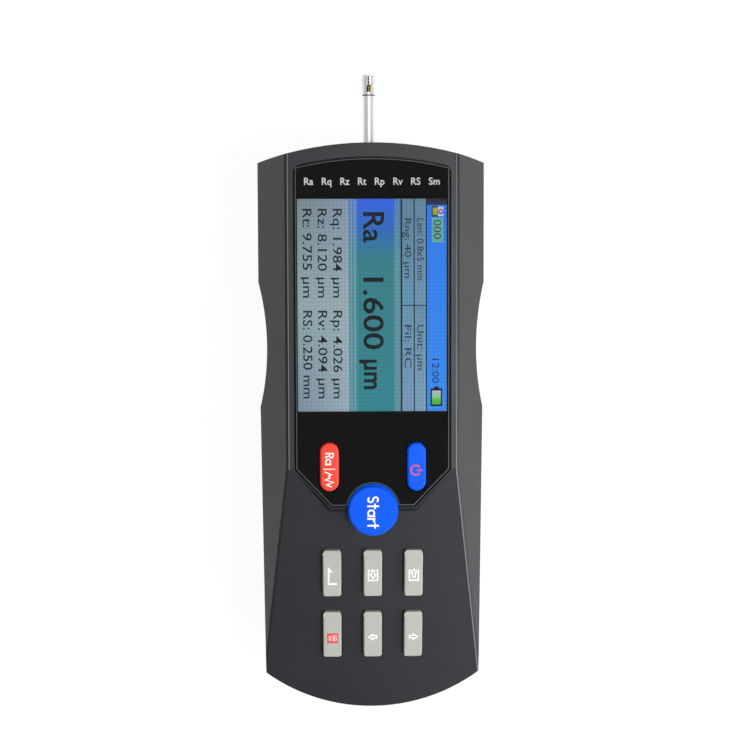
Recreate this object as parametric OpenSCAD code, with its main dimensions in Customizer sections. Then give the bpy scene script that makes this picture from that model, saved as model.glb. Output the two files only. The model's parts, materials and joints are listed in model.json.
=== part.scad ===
// Hand-held surface roughness tester, lying on its back.
// +Y points along the pickup, +Z out of the display, and the base rests on z = 0.

/* [Case] */
// Length of the case at its widest level
body_len = 160; // [147:1:174]
// Width of the case at its widest level
body_w = 63; // [57:0.5:69]
// Height from the base to the display face
body_h = 46; // [42:0.5:50]
// Height of the line where front and rear shell meet
part_z = 20; // [18:0.5:22]
// Height at which the leaning sides of the front shell begin
side_z = 31.5; // [29:0.5:33]
// Height at which the end walls of the front shell begin to lean
end_z = 25.5; // [23:0.5:26.5]
// How far the display face lies in from each side
face_in = 8.1; // [7.35:0.05:8.85]
// How far the base lies in from each side and end
base_in = 2; // [1:0.1:3]
// How far the sides lie in just behind the waist
grip_in = 0.4; // [0.2:0.05:0.8]
// How far the tail corners lie in from each side
tail_in = 1.5; // [0.9:0.1:2.5]
// Bulge of the pickup end
nose_rise = 5.5; // [4:0.5:7]
// Bulge of the tail end
tail_rise = 10.2; // [8:0.2:12]
// Lean of the end walls above that height in degrees
end_draft = 4; // [2:0.5:6]
// Distance of the waist from the pickup end
waist_back = 57.1; // [53:0.1:61]
// Length of the waist along the side
waist_len = 36.3; // [30:0.1:40]
// Depth of the waist on each side
waist_depth = 2.5; // [1:0.1:3]
// Wall thickness of both shells
wall = 2.2; // [2:0.1:2.6]
// Thickness of the front shell around the window
roof = 3.4; // [3.2:0.1:4]
// How far the crease edges are taken back
crease_bevel = 0.25; // [0.1:0.05:0.5]
// Height of the foot that stands proud under the base
foot_h = 0.8; // [0.5:0.1:1.2]
// How far the foot stays inside the outline
foot_inset = 1.2; // [0.8:0.1:2]
// Height of the lip that locates the shells
lip_h = 1.4; // [1:0.1:2]
// Shadow gap between the shells
seam_gap = 0.5; // [0.3:0.1:1]

/* [Keypad slope] */
// Length of the keypad slope from the tail end
slope_len = 70.15; // [68:0.05:72]
// Angle of the keypad slope
slope_deg = 12; // [10:0.5:13]

/* [Window] */
// Width of the case rim beside the lens
lens_side = 2.35; // [2.05:0.05:2.75]
// Distance of the lens from the edge at the pickup end
lens_margin = 4; // [3:0.1:6]
// Corner radius of the lens
lens_corner_r = 2.2; // [1:0.1:4]
// How far the lens reaches down over the slope
lens_drop = 10.15; // [9:0.05:11]
// Width of the lens at its lower end
lens_foot_w = 22.7; // [20:0.1:26]
// Thickness of the lens
lens_t = 1.5; // [1.2:0.1:1.8]
// How far the lens stands above the face
lens_proud = 0.2; // [0:0.05:0.4]
// Bevel around the lens
lens_bevel = 0.4; // [0.2:0.05:0.6]
// Thickness of the printed mask behind the lens
mask_t = 0.2; // [0.1:0.05:0.3]
// Gap around the lens
lens_gap = 0.3; // [0.2:0.05:0.5]
// Rim of the case left around the lens at the slope
lens_rim = 0.5; // [0.3:0.1:1]
// Lean of the rim wall in degrees
rim_draft = 27; // [15:1:40]
// Black border beside the picture
screen_side = 0.75; // [0.6:0.05:1.6]
// Distance of the picture from the pickup end
screen_nose = 16.45; // [15:0.05:17.5]
// Distance of the picture from the keypad slope
screen_tail = 15.65; // [15.2:0.05:17.7]
// Thickness of the display
display_t = 2.6; // [2:0.1:3]
// Border of the display around the picture at its sides
display_border = 1.5; // [1:0.1:1.6]
// Border of the display around the picture at its ends
display_end = 3; // [2:0.1:3.5]

/* [Buttons] */
// Diameter of the start button
start_d = 13.8; // [12:0.1:15]
// Place of the start button on the slope, from where the slope starts
start_v = -10.7; // [-11.6:0.1:-9.9]
// How far the start button stands above the display face
start_proud = 1.2; // [0.6:0.1:1.8]
// Bevel around the start button
start_round = 0.8; // [0.5:0.1:1.2]
// Width of the pill buttons
pill_w = 5.2; // [4.8:0.1:6]
// Length of the pill buttons
pill_len = 13.3; // [11:0.1:14.5]
// Distance of the pill buttons from the middle
pill_x = 11.85; // [11:0.05:12.5]
// How far the middle of the pill buttons lies above the start of the slope
pill_up = 0.8; // [0.35:0.05:1.2]
// How far the pill buttons stand above the face
pill_proud = 1; // [0.6:0.1:1.6]
// Rounding of the pill buttons
pill_round = 0.7; // [0.3:0.1:0.9]
// Width of a key
key_w = 5.1; // [4:0.05:6]
// Length of a key
key_len = 13.4; // [11:0.1:14]
// Distance between key columns
key_pitch_x = 11.3; // [10:0.05:12]
// Place of the first key row on the slope
key_row_v = -30.1; // [-31:0.1:-29.5]
// Distance between key rows along the slope
key_pitch_v = 18.4; // [17:0.1:18.6]
// How far the keys stand above the slope
key_proud = 1.6; // [1:0.1:2.2]
// Rounding of the key corners
key_corner_r = 1; // [0.5:0.1:2]
// Length of the bevel at the upper end of a key
key_bevel = 1.6; // [0.6:0.1:2.4]
// How far a key falls over that bevel
key_fall = 0.7; // [0.2:0.05:1]
// Bevel on the other edges of a key
key_edge = 0.3; // [0.1:0.05:0.5]
// Gap around every button
button_gap = 0.3; // [0.2:0.05:0.4]
// Width of the flange that keeps a button in the case
button_flange = 0.9; // [0.6:0.1:1.1]
// Thickness of that flange
flange_t = 1.2; // [0.8:0.1:1.4]
// Travel of every button
button_travel = 0.8; // [0.4:0.1:0.9]
// Diameter of the stem under a button
stem_d = 3.2; // [2.4:0.1:3.6]

/* [Boards] */
// Thickness of the boards
board_t = 1.6; // [1:0.1:1.8]
// Depth of the main board's upper face under the display face
board_depth = 11; // [10.6:0.1:11.4]
// How much the main board stays inside the lens outline on each side
board_side = 0.05; // [0:0.05:0.6]
// How much the keypad board stays inside the lens outline on each side
keypad_side = 1.65; // [1.45:0.05:2.05]
// Depth of the keypad board's upper face under the slope
keypad_depth = 7.6; // [7.4:0.1:8]
// Side of a switch
switch_w = 6; // [5:0.1:6.5]
// Height of a switch
switch_h = 2; // [1.8:0.1:2.2]
// Thickness of the display ribbon
ribbon_t = 0.3; // [0.2:0.05:0.4]
// Width of the display ribbon
ribbon_w = 12; // [8:0.5:14]

/* [Pickup] */
// How far the pickup reaches out of the case
pickup_reach = 21.4; // [20:0.1:24]
// Diameter of the pickup tube
tube_d = 3; // [2.8:0.05:3.2]
// Bore of the pickup tube
tube_bore = 2.2; // [2:0.05:2.3]
// Height of the pickup tube's axis
tube_z = 2.6; // [2.5:0.05:3]
// Diameter of the nose sleeve
nose_d = 3.54; // [3.4:0.02:3.8]
// Length of the nose sleeve
nose_len = 6.2; // [5.5:0.1:7]
// Width of the nose slit at its front
slit_w = 0.5; // [0.4:0.05:0.7]
// Width of the nose slit at its back
slit_back_w = 1.2; // [1:0.05:1.4]
// Diameter of the pickup body
pickup_d = 6.4; // [6:0.1:6.8]
// Length of the pickup body
pickup_len = 19; // [17:0.5:21]
// Height of the pickup body's axis
pickup_z = 4; // [3.9:0.05:4.2]
// Diameter of the spigot that plugs into the socket
spigot_d = 5; // [4.6:0.1:5.2]
// Length of that spigot
spigot_len = 3.4; // [3:0.1:3.6]
// Height of the skid's lowest point
skid_z = 0.4; // [0.3:0.05:0.6]

/* [Drive] */
// Travel of the pickup
traverse = 17.5; // [12.5:0.5:17.5]
// Inner width of the pickup channel
channel_w = 11; // [10.5:0.1:12]
// Inner height of the pickup channel
channel_h = 10.6; // [10.4:0.1:11]
// Wall of the pickup channel
channel_t = 1.5; // [1.2:0.1:1.8]
// Distance of the pivot pin from the pickup end
pivot_back = 40; // [39:0.1:41]
// Height of the pivot pin
pivot_z = 8.4; // [8.3:0.05:8.5]
// Diameter of the pivot pin
pivot_d = 1.5; // [1.2:0.1:1.6]
// Length of the carriage
carriage_len = 14; // [13:0.5:14]
// Width of the carriage
carriage_w = 25; // [24:0.5:26]
// Height of the carriage
carriage_h = 9.8; // [9.4:0.1:10.4]
// Diameter of the guide rods
rod_d = 3; // [2.5:0.1:3.2]
// Distance of the guide rods from the middle
rod_x = 9; // [8.5:0.1:9.2]
// Diameter of the lead screw
screw_d = 3; // [2.5:0.1:3.2]
// Thickness of the drive plate
plate_t = 1.5; // [1.2:0.1:1.8]
// Width of the drive plate
plate_w = 37; // [36:0.5:38]
// Clearance of running fits on the radius
run_gap = 0.03; // [0.02:0.01:0.06]
// Clearance of seated fits on the radius
seat_gap = 0.02; // [0.01:0.01:0.05]

/* [Battery and socket] */
// Distance of the battery pack from the tail end
battery_tail = 11.3; // [10:0.1:14]
// Height of the battery pack
battery_h = 11; // [9:0.5:11]
// Width of the socket mouth
usb_w = 6.9; // [6.5:0.1:7.2]
// Height of the socket mouth
usb_h = 2.6; // [2.4:0.1:2.8]

/* [Hidden] */
$fn = 64;
arc_fn = 360;
reach = 400;
eps = 0.01;

// Outline of the case
face_w = body_w - 2 * face_in;
grip_w = body_w - 2 * grip_in;
tail_w = body_w - 2 * tail_in;
waist_y = body_len / 2 - waist_back;
slope_y = slope_len - body_len / 2;
nose_r = ((body_w / 2) ^ 2 + nose_rise ^ 2) / (2 * nose_rise);
nose_cy = body_len / 2 - nose_r;
tail_r = ((tail_w / 2) ^ 2 + tail_rise ^ 2) / (2 * tail_rise);
tail_cy = -body_len / 2 + tail_r;
tail_corner_y = -body_len / 2 + tail_rise;
waist_r = ((waist_len / 2) ^ 2 + waist_depth ^ 2) / (2 * waist_depth);
waist_cx = body_w / 2 - waist_depth + waist_r;
grip_y = waist_y - waist_len / 2;
taper_deg = atan((grip_w - tail_w) / 2 / (grip_y - tail_corner_y));
draft_in = (body_h - end_z) * tan(end_draft);
facet_n = [body_h - side_z, 0, face_in];
slope_n = [0, -sin(slope_deg), cos(slope_deg)];
roof_z = body_h - roof;
floor_t = wall;

// Window stack, from the lens down
lens_w = face_w - 2 * lens_side;
lens_shoulder_y = slope_y;
lens_low_y = slope_y - lens_drop;
screen_w = lens_w - 2 * screen_side;
screen_len = body_len / 2 - screen_nose - slope_y - screen_tail;
screen_y = body_len / 2 - screen_nose - screen_len / 2;
lens_top = body_h + lens_proud;
lens_seat = lens_top - lens_t - mask_t;
lens_r = nose_r - draft_in - lens_margin;
corner_cx = lens_w / 2 - lens_corner_r;
corner_cy = nose_cy + sqrt((lens_r - lens_corner_r) ^ 2 - corner_cx ^ 2);
display_w = screen_w + 2 * display_border;
display_len = screen_len + 2 * display_end;
display_z = roof_z - display_t;
display_y0 = screen_y - display_len / 2;

// Buttons, with heights on the slope counted from its surface
start_r = start_d / 2;
pill_y = slope_y + pill_up;
flange_gap = 0.3;
ceiling_n = -wall - flange_gap;
start_edge_v = start_v + start_r + button_flange;
start_z = body_h + start_proud;
start_top_n = (start_proud - start_v * sin(slope_deg)) / cos(slope_deg);
start_y = slope_y + start_v * cos(slope_deg) - start_top_n * sin(slope_deg);
start_ceiling_n = min(ceiling_n, (-roof - flange_gap - start_edge_v * sin(slope_deg)) / cos(slope_deg));
switch_dip = 0.4;
stem_n = -keypad_depth + switch_h - switch_dip;
well_r = stem_d / 2 + 0.3;
well_depth = switch_dip + button_travel + 0.4;
key_cols = [-key_pitch_x, 0, key_pitch_x];
key_rows = [key_row_v, key_row_v - key_pitch_v];
pill_flange_z = min(roof_z, body_h - (slope_y - pill_y + pill_len / 2 + button_flange) * tan(slope_deg)
    - wall / cos(slope_deg)) - flange_gap;

// Boards and their bosses
board_z = body_h - board_depth;
board_w = lens_w - 2 * board_side;
keypad_w = lens_w - 2 * keypad_side;
boss_d = 4.4;
boss_gap = 0.2;
pilot_d = 1.6;
board_y0 = pill_y - switch_w / 2 - 1.3;
board_y1 = display_y0 + display_len + 5.8;
board_bosses = [[board_w / 3, board_y1 - 2.4], [boss_d, pill_y + 3.9]];
keypad_v1 = start_v + switch_w / 2 + 0.9;
keypad_boss_x = keypad_w / 2 - boss_d / 2;
keypad_boss_run = key_len / 2 + button_flange + boss_gap + boss_d / 2;
keypad_boss_v = [key_row_v + keypad_boss_run, key_rows[1] - keypad_boss_run];
keypad_v0 = keypad_boss_v[1] - boss_d / 2;
screw_head_d = 3.6;
screw_head_h = 1.2;
screw_bite = 5;
short_screw_bite = 3;

// Case screws
case_screw_d = 2.5;
case_head_d = 4.8;
case_head_h = 1.8;
case_head_dip = 0.4;
case_boss_d = 6.4;
case_screw_bite = 9;
case_screw_len = part_z + case_screw_bite;
case_bosses = [
    [board_w / 2 + 3.5, body_len / 2 - 18],
    [keypad_w / 2 + 3.8, 22 - body_len / 2]
];

// Drive, from the channel up
drive_seat = channel_h + channel_t;
plate_top = drive_seat + plate_t;
carriage_gap = 1.2;
carriage_z = plate_top + carriage_gap;
screw_z = carriage_z + carriage_h / 2;
pivot_y = body_len / 2 - pivot_back;
carriage_y = pivot_y;
stop_gap = 1;
bracket_t = 4;
bracket_w = 26;
back_bracket_y = carriage_y - carriage_len / 2 - traverse - stop_gap - bracket_t;
front_bracket_y = carriage_y + carriage_len / 2 + 4;
bearing_d = 7;
bearing_flange_d = 9;
bearing_flange_t = 1;
coupling_len = 11;
coupling_d = 8;
coupling_y = back_bracket_y - 2 - coupling_len;
gearbox_len = 9;
gearbox_w = 12;
gearbox_h = 10;
motor_len = 15;
gearbox_y = coupling_y - 2.5 - gearbox_len;
motor_y = gearbox_y - motor_len;
cradle_z = screw_z - gearbox_h / 2;
plate_y0 = motor_y - 1.5;
plate_y1 = front_bracket_y + bracket_t + 1.5;
post_x = plate_w / 2 - 3;
post_ys = [plate_y0 + 3, front_bracket_y - 2];
post_d = 5;
tongue_w = 2.4;
tongue_len = 4.8;
tongue_gap = 0.3;
slot_w = tongue_w + 1.2;
slot_y0 = pivot_y - tongue_len / 2 - traverse - stop_gap;
slot_y1 = pivot_y + tongue_len / 2 + stop_gap;
limit_w = 3.2;
limit_len = 6;
limit_h = 5;
clamp_t = 1;
clamp_len = 6;
clamp_foot = 6;
nut_d = 7;
nut_flange_d = 9.6;
nut_flange_t = 1.5;
bush_d = 5.4;

// Pickup, from its socket out
socket_len = 12;
socket_w = 8.4;
socket_y0 = pivot_y - 5;
socket_y1 = socket_y0 + socket_len;
socket_z0 = 0.7;
socket_top = 7.6;
ear_t = 1.4;
ear_r = 1.7;
channel_y0 = socket_y0 - traverse - stop_gap;
channel_y1 = body_len / 2 - base_in - 0.5;
pickup_y1 = socket_y1 + pickup_len;
tip_y = body_len / 2 - base_in + pickup_reach + 2.4;
nose_y0 = tip_y - nose_len;
tube_y0 = pickup_y1 - 6;
tube_y1 = nose_y0 + 1.1;
stylus_y = tip_y - 2.4;
stylus_pivot_y = tip_y - 9;
stylus_hole_d = 0.9;
skid_seat_z = tube_z - nose_d / 2 + 0.17;
skid_r = 0.8;
arm_d = 0.9;
pin_d = 0.6;

// Battery, charging board and socket
battery_y1 = plate_y0 - 1.2;
battery_y0 = battery_tail - body_len / 2;
battery_len = battery_y1 - battery_y0;
battery_w = 2 * (case_bosses[1][0] - case_boss_d / 2 - 0.4);
battery_r = 2;
charge_z = floor_t + battery_h + 0.5;
charge_t = 1;
charge_post = [8, tail_cy - tail_r + base_in + wall + 4];
charge_post_d = 4;
stake_d = 1.8;
charge_w = 2 * charge_post[0] + 6;
charge_y0 = charge_post[1] - 2.2;
charge_y1 = charge_post[1] + 9;
usb_t = 0.4;
usb_len = 8;
usb_y0 = -body_len / 2 + base_in * 0.3 + 1.2;
usb_z0 = charge_z + charge_t;
usb_gap = 0.3;

function unit(v) = v / norm(v);
function mean_normal(a, b) = unit(unit(a) + unit(b));
function grip_x(y) = grip_w / 2 + (y - grip_y) * tan(taper_deg);

// Everything on the far side of a plane through point p with outward normal n
module beyond(n, p) {
    u = unit(n);
    translate(p)
        rotate([0, acos(u[2]), atan2(u[1], u[0])])
            translate([-reach, -reach, 0])
                cube([2 * reach, 2 * reach, reach]);
}

// Frame of the keypad slope: Y runs up the slope and Z points out of it
module on_slope() {
    translate([0, slope_y, body_h])
        rotate([slope_deg, 0, 0])
            children();
}

module both_sides() {
    children();
    mirror([1, 0, 0])
        children();
}

// Slab between two heights, to keep only that part of a form
module slab(z0, z1) {
    translate([-reach, -reach, z0])
        cube([2 * reach, 2 * reach, z1 - z0]);
}

// A round end wall: upright in the middle, leaning inwards above and below
module end_form(r, cy, inset) {
    rr = r - inset;
    translate([0, cy, 0])
        rotate_extrude($fn = arc_fn)
            polygon([
                [0, 0], [rr - base_in, 0], [rr, part_z], [rr, end_z],
                [rr - draft_in, body_h], [0, body_h]
            ]);
}

// Everything inboard of one side wall whose widest line runs along Y
module side_form(inset) {
    rotate([90, 0, 0])
        linear_extrude(height = 2 * reach, center = true)
            polygon([
                [-reach, 0], [-base_in - inset, 0], [-inset, part_z], [-inset, side_z],
                [-face_in - inset, body_h], [-reach, body_h]
            ]);
}

// The same without the lean above, for the tapering wall behind the waist
module upright_form(inset) {
    rotate([90, 0, 0])
        linear_extrude(height = 2 * reach, center = true)
            polygon([
                [-reach, 0], [-base_in - inset, 0], [-inset, part_z], [-inset, body_h],
                [-reach, body_h]
            ]);
}

module right_side(inset) {
    intersection() {
        translate([body_w / 2, 0, 0])
            side_form(inset);
        translate([grip_w / 2, grip_y, 0])
            rotate([0, 0, -taper_deg])
                upright_form(inset);
    }
}

// The whole case as a solid, taken in by an inset on every wall
module case_form(inset = 0) {
    difference() {
        intersection() {
            union() {
                end_form(nose_r, nose_cy, inset);
                translate([-reach, nose_cy - reach, 0])
                    cube([2 * reach, reach, body_h]);
            }
            union() {
                end_form(tail_r, tail_cy, inset);
                translate([-reach, tail_cy, 0])
                    cube([2 * reach, reach, body_h]);
            }
            right_side(inset);
            mirror([1, 0, 0])
                right_side(inset);
        }
        both_sides()
            translate([waist_cx, waist_y, -eps])
                cylinder(h = body_h + 2 * eps, r = waist_r + inset, $fn = arc_fn);
    }
}

// Bevels along the leaning sides, beside the display face and beside the slope
module crease_cuts() {
    both_sides() {
        n_up = mean_normal(facet_n, [0, 0, 1]);
        beyond(n_up, [face_w / 2, 0, body_h] - crease_bevel * n_up);
        n_low = mean_normal(facet_n, slope_n);
        beyond(n_low, [face_w / 2, slope_y, body_h] - crease_bevel * n_low);
    }
}

// Lens edges that the raised rim follows: outward direction and a point on each
function diagonal_n() = unit([
    slope_run(), -(lens_w - lens_foot_w) / 2, 0
]);
function slope_run() = lens_shoulder_y - lens_low_y;
function lens_corner() = [lens_w / 2, lens_shoulder_y, 0];

// What the keypad slope takes away, all but the raised rim around the lens
module slope_cut() {
    lean = sin(rim_draft);
    flat = cos(rim_draft);
    diagonal = diagonal_n();
    intersection() {
        on_slope()
            translate([-reach, -reach, 0])
                cube([2 * reach, 2 * reach, reach]);
        union() {
            both_sides()
                beyond(diagonal * flat + [0, 0, lean], lens_corner() + diagonal * lens_rim + [0, 0, body_h]);
            beyond([0, -flat, lean], [0, lens_low_y - lens_rim, body_h]);
        }
    }
}

// Outline of the lens, grown by g
module lens_outline(g = 0) {
    diagonal = diagonal_n();
    grow = g * (1 - diagonal[0]) / -diagonal[1];
    foot_grow = g * (1 + diagonal[1]) / diagonal[0];
    r = lens_r + g;
    half = lens_w / 2 + g;
    low = lens_low_y - g;
    shoulder = lens_shoulder_y - grow;
    foot = lens_foot_w / 2 + foot_grow;
    turn = unit([corner_cx, corner_cy - nose_cy]);
    far = [corner_cx, corner_cy] + turn * (lens_corner_r + g + 2);
    difference() {
        intersection() {
            translate([0, nose_cy])
                circle(r = r, $fn = arc_fn);
            polygon([
                [half, body_len], [half, shoulder], [foot, low],
                [-foot, low], [-half, shoulder], [-half, body_len]
            ]);
        }
        for (side = [-1, 1])
            difference() {
                polygon([
                    [side * corner_cx, corner_cy], [side * (half + 1), corner_cy],
                    [side * (half + 1), far[1]], [side * far[0], far[1]]
                ]);
                translate([side * corner_cx, corner_cy])
                    circle(r = lens_corner_r + g);
            }
    }
}

// A stadium along Y
module pill_outline(g = 0) {
    run = pill_len - pill_w;
    square([pill_w + 2 * g, run], center = true);
    for (side = [-1, 1])
        translate([0, side * run / 2])
            circle(d = pill_w + 2 * g);
}

// A rectangle with round corners
module round_rect(w, l, r) {
    square([w - 2 * r, l], center = true);
    square([w, l - 2 * r], center = true);
    for (x = [-1, 1], y = [-1, 1])
        translate([x * (w / 2 - r), y * (l / 2 - r)])
            circle(r = r);
}

module start_hole(gap) {
    on_slope()
        translate([0, start_v, -reach / 2])
            cylinder(h = reach, r = start_r + gap);
}

module pill_holes(gap, z0, z1) {
    for (side = [-1, 1])
        translate([side * pill_x, pill_y, z0])
            linear_extrude(height = z1 - z0)
                pill_outline(gap);
}

module key_holes(gap) {
    on_slope()
        for (x = key_cols, v = key_rows)
            translate([x, v, -2 * wall])
                linear_extrude(height = 4 * wall)
                    round_rect(key_w + 2 * gap, key_len + 2 * gap, key_corner_r + gap);
}

// A hollow boss standing on z = 0 and reaching up by h
module boss(h, d, bore) {
    difference() {
        cylinder(h = h, d = d);
        translate([0, 0, -eps])
            cylinder(h = h - 1, d = bore);
    }
}

module board_boss_set() {
    both_sides()
        for (p = board_bosses)
            translate([p[0], p[1], board_z])
                boss(roof_z - board_z + eps, boss_d, pilot_d + 2 * seat_gap);
    on_slope()
        both_sides()
            for (v = keypad_boss_v)
                translate([keypad_boss_x, v, -keypad_depth])
                    boss(keypad_depth - wall + eps, boss_d, pilot_d + 2 * seat_gap);
}

// Bosses for the case screws, with a web to the side wall, trimmed to the case
module front_case_bosses() {
    top = part_z + 14;
    intersection() {
        both_sides()
            for (p = case_bosses)
                translate([p[0], p[1], part_z])
                    difference() {
                        union() {
                            cylinder(h = top - part_z, d = case_boss_d);
                            translate([0, -1.2, lip_h + 0.4])
                                cube([12, 2.4, top - part_z - lip_h - 0.4]);
                        }
                        translate([0, 0, -eps])
                            cylinder(h = case_screw_len - part_z + 1, d = case_screw_d + 2 * seat_gap);
                    }
        case_form(wall / 2);
        union() {
            on_slope()
                translate([-reach, -reach, -reach - wall / 2])
                    cube([2 * reach, 2 * reach, reach]);
        }
    }
}

// Hollow of the front shell under the roof and the slope
module front_hollow() {
    difference() {
        intersection() {
            case_form(wall);
            slab(-eps, roof_z);
        }
        on_slope()
            translate([-reach, -reach, -wall])
                cube([2 * reach, 2 * reach, reach]);
    }
}

module front_shell() {
    color("#4a4c50")
        difference() {
            union() {
                difference() {
                    intersection() {
                        case_form();
                        slab(part_z, body_h);
                    }
                    slope_cut();
                    crease_cuts();
                    front_hollow();
                    intersection() {
                        case_form(wall / 2 - seam_gap / 5);
                        slab(part_z - eps, part_z + lip_h + seam_gap / 5);
                    }
                }
                board_boss_set();
                front_case_bosses();
            }
            translate([0, 0, lens_seat])
                linear_extrude(height = body_h)
                    lens_outline(lens_gap);
            translate([0, screen_y, body_h])
                cube([screen_w + 1, screen_len + 1, 2 * body_h - 2 * board_z], center = true);
            start_hole(button_gap);
            pill_holes(button_gap, board_z + 1, body_h + 1);
            key_holes(button_gap);
        }
}

module rear_case_bosses() {
    both_sides()
        for (p = case_bosses)
            translate([p[0], p[1], eps])
                cylinder(h = part_z - eps, d = case_boss_d);
}

// Posts that carry the drive plate and the charging board, and ribs beside the battery
module rear_posts() {
    both_sides() {
        for (y = post_ys)
            translate([post_x, y, floor_t - eps])
                boss(drive_seat - floor_t + eps, post_d, 0.5);
        translate([charge_post[0], charge_post[1], floor_t - eps])
            cylinder(h = charge_z - floor_t + eps, d = charge_post_d);
        translate([charge_post[0], charge_post[1], charge_z - eps])
            cylinder(h = charge_t + 0.6, d = stake_d);
        translate([battery_w / 2 + 0.3, battery_y0 + 4, floor_t - eps])
            cube([1.4, battery_len - 8, battery_h / 2]);
    }
}

module rear_shell() {
    chan = channel_w / 2 + channel_t + seam_gap / 5;
    color("#3a3b3f")
        difference() {
            union() {
                difference() {
                    union() {
                        intersection() {
                            case_form(foot_inset);
                            slab(0, foot_h + eps);
                        }
                        intersection() {
                            case_form();
                            slab(foot_h, part_z - seam_gap);
                        }
                        intersection() {
                            case_form(seam_gap);
                            slab(part_z - seam_gap - eps, part_z);
                        }
                        intersection() {
                            case_form(wall / 2);
                            slab(part_z - eps, part_z + lip_h);
                        }
                    }
                    intersection() {
                        case_form(wall);
                        slab(floor_t, body_h);
                    }
                }
                intersection() {
                    rear_case_bosses();
                    case_form(wall / 2);
                }
                rear_posts();
            }
            translate([-chan, channel_y0 - channel_t - seam_gap / 5, -eps])
                cube([2 * chan, reach, drive_seat + seam_gap / 5 + eps]);
            both_sides() {
                for (p = case_bosses)
                    translate([p[0], p[1], 0]) {
                        cylinder(h = 3 * part_z, d = case_screw_d + 0.5, center = true);
                        translate([0, 0, -eps])
                            cylinder(h = case_head_h + case_head_dip + eps, d = case_head_d + 0.4);
                    }
                for (y = post_ys)
                    translate([post_x, y, floor_t + 1])
                        cylinder(h = part_z, d = pilot_d + 2 * seat_gap);
            }
            translate([-usb_w / 2 - usb_t - usb_gap, -body_len, usb_z0 - usb_gap])
                cube([usb_w + 2 * (usb_t + usb_gap), body_len + usb_y0 + usb_len,
                    usb_h + 2 * (usb_t + usb_gap)]);
        }
}

module window_lens() {
    diagonal = diagonal_n();
    tilt = [0, 0, 1];
    color("#101214", 0.35)
        difference() {
            intersection() {
                translate([0, 0, lens_top - lens_t])
                    linear_extrude(height = lens_t)
                        lens_outline();
                translate([0, nose_cy, lens_top - lens_t])
                    cylinder(h = lens_t, r1 = lens_r + lens_t - lens_bevel, r2 = lens_r - lens_bevel, $fn = arc_fn);
            }
            both_sides() {
                beyond([1, 0, 1], [lens_w / 2 - lens_bevel, 0, lens_top]);
                beyond(diagonal + tilt, lens_corner() - diagonal * lens_bevel + [0, 0, lens_top]);
            }
            beyond([0, -1, 1], [0, lens_low_y + lens_bevel, lens_top]);
            start_hole(button_gap);
            pill_holes(button_gap, board_z, body_h + 2);
        }
}

module lens_mask() {
    color("#0c0c0d")
        difference() {
            translate([0, 0, lens_seat])
                linear_extrude(height = mask_t)
                    lens_outline();
            translate([0, screen_y, lens_seat])
                cube([screen_w, screen_len, 4 * mask_t], center = true);
            start_hole(button_gap);
            pill_holes(button_gap, board_z, body_h + 2);
        }
}

module display_panel() {
    color("#6d8fae")
        translate([-display_w / 2, display_y0, display_z])
            cube([display_w, display_len, display_t]);
}

// Frame that carries the display above the main board
module display_carrier() {
    w = board_w - 1;
    bar = 2;
    h = display_z - board_z;
    color("#2a2b2e")
        translate([0, display_y0 + display_len / 2, board_z])
            difference() {
                translate([-w / 2, -display_len / 2 + 1, 0])
                    cube([w, display_len - 2, h]);
                for (end = [-1, 1])
                    translate([0, end * (display_len / 4 - bar / 4), h / 2])
                        cube([w - 2 * bar, display_len / 2 - 2 * bar, 2 * h], center = true);
            }
}

// Ribbon that leaves the end of the display and folds under onto the main board
module display_ribbon() {
    z1 = display_z + display_t / 2;
    r = (z1 - board_z) / 2;
    bend_y = display_y0 - 1.1;
    color("#b5651d")
        translate([ribbon_w / 2, bend_y, board_z + r])
            rotate([90, 0, -90])
                linear_extrude(height = ribbon_w) {
                    difference() {
                        circle(r = r);
                        circle(r = r - ribbon_t);
                        translate([-2 * r, -2 * r])
                            square([2 * r, 4 * r]);
                    }
                    for (y = [-r, r - ribbon_t])
                        translate([display_y0 > bend_y ? bend_y - display_y0 : 0, y])
                            square([display_y0 - bend_y + eps, ribbon_t]);
                }
}

module main_board() {
    color("#1f5a3a")
        difference() {
            translate([-board_w / 2, board_y0, board_z - board_t])
                cube([board_w, board_y1 - board_y0, board_t]);
            both_sides()
                for (p = board_bosses)
                    translate([p[0], p[1], board_z - 2 * board_t])
                        cylinder(h = 3 * board_t, d = pilot_d + 0.4);
        }
}

// Processor, memory and power chips under the main board
module board_chips() {
    chip_h = board_t * 0.9;
    u = board_w / 6;
    mid = (board_y0 + board_y1) / 2;
    color("#1b1b1d")
        for (c = [[0, 2.4, 2, 2], [-1.6, 0, 1.3, 0.9], [1.6, 0, 1, 1.3], [0, -2, 1.4, 0.7]])
            translate([(c[0] - c[2] / 2) * u, mid + (c[1] - c[3] / 2) * u, board_z - board_t - chip_h])
                cube([c[2] * u, c[3] * u, chip_h]);
}

module keypad_board() {
    color("#1f5a3a")
        on_slope()
            difference() {
                translate([-keypad_w / 2, keypad_v0, -keypad_depth - board_t])
                    cube([keypad_w, keypad_v1 - keypad_v0, board_t]);
                both_sides()
                    for (v = keypad_boss_v)
                        translate([keypad_boss_x, v, -keypad_depth - 2 * board_t])
                            cylinder(h = 3 * board_t, d = pilot_d + 0.4);
            }
}

// A push switch with the well that its button's stem works in
module push_switch() {
    difference() {
        translate([-switch_w / 2, -switch_w / 2, 0])
            cube([switch_w, switch_w, switch_h]);
        translate([0, 0, switch_h - well_depth])
            cylinder(h = switch_h, r = well_r);
    }
}

module button_switches() {
    color("#26282b") {
        for (side = [-1, 1])
            translate([side * pill_x, pill_y, board_z])
                push_switch();
        on_slope()
            translate([0, 0, -keypad_depth]) {
                translate([0, start_v, 0])
                    push_switch();
                for (x = key_cols, v = key_rows)
                    translate([x, v, 0])
                        push_switch();
            }
    }
}

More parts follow.
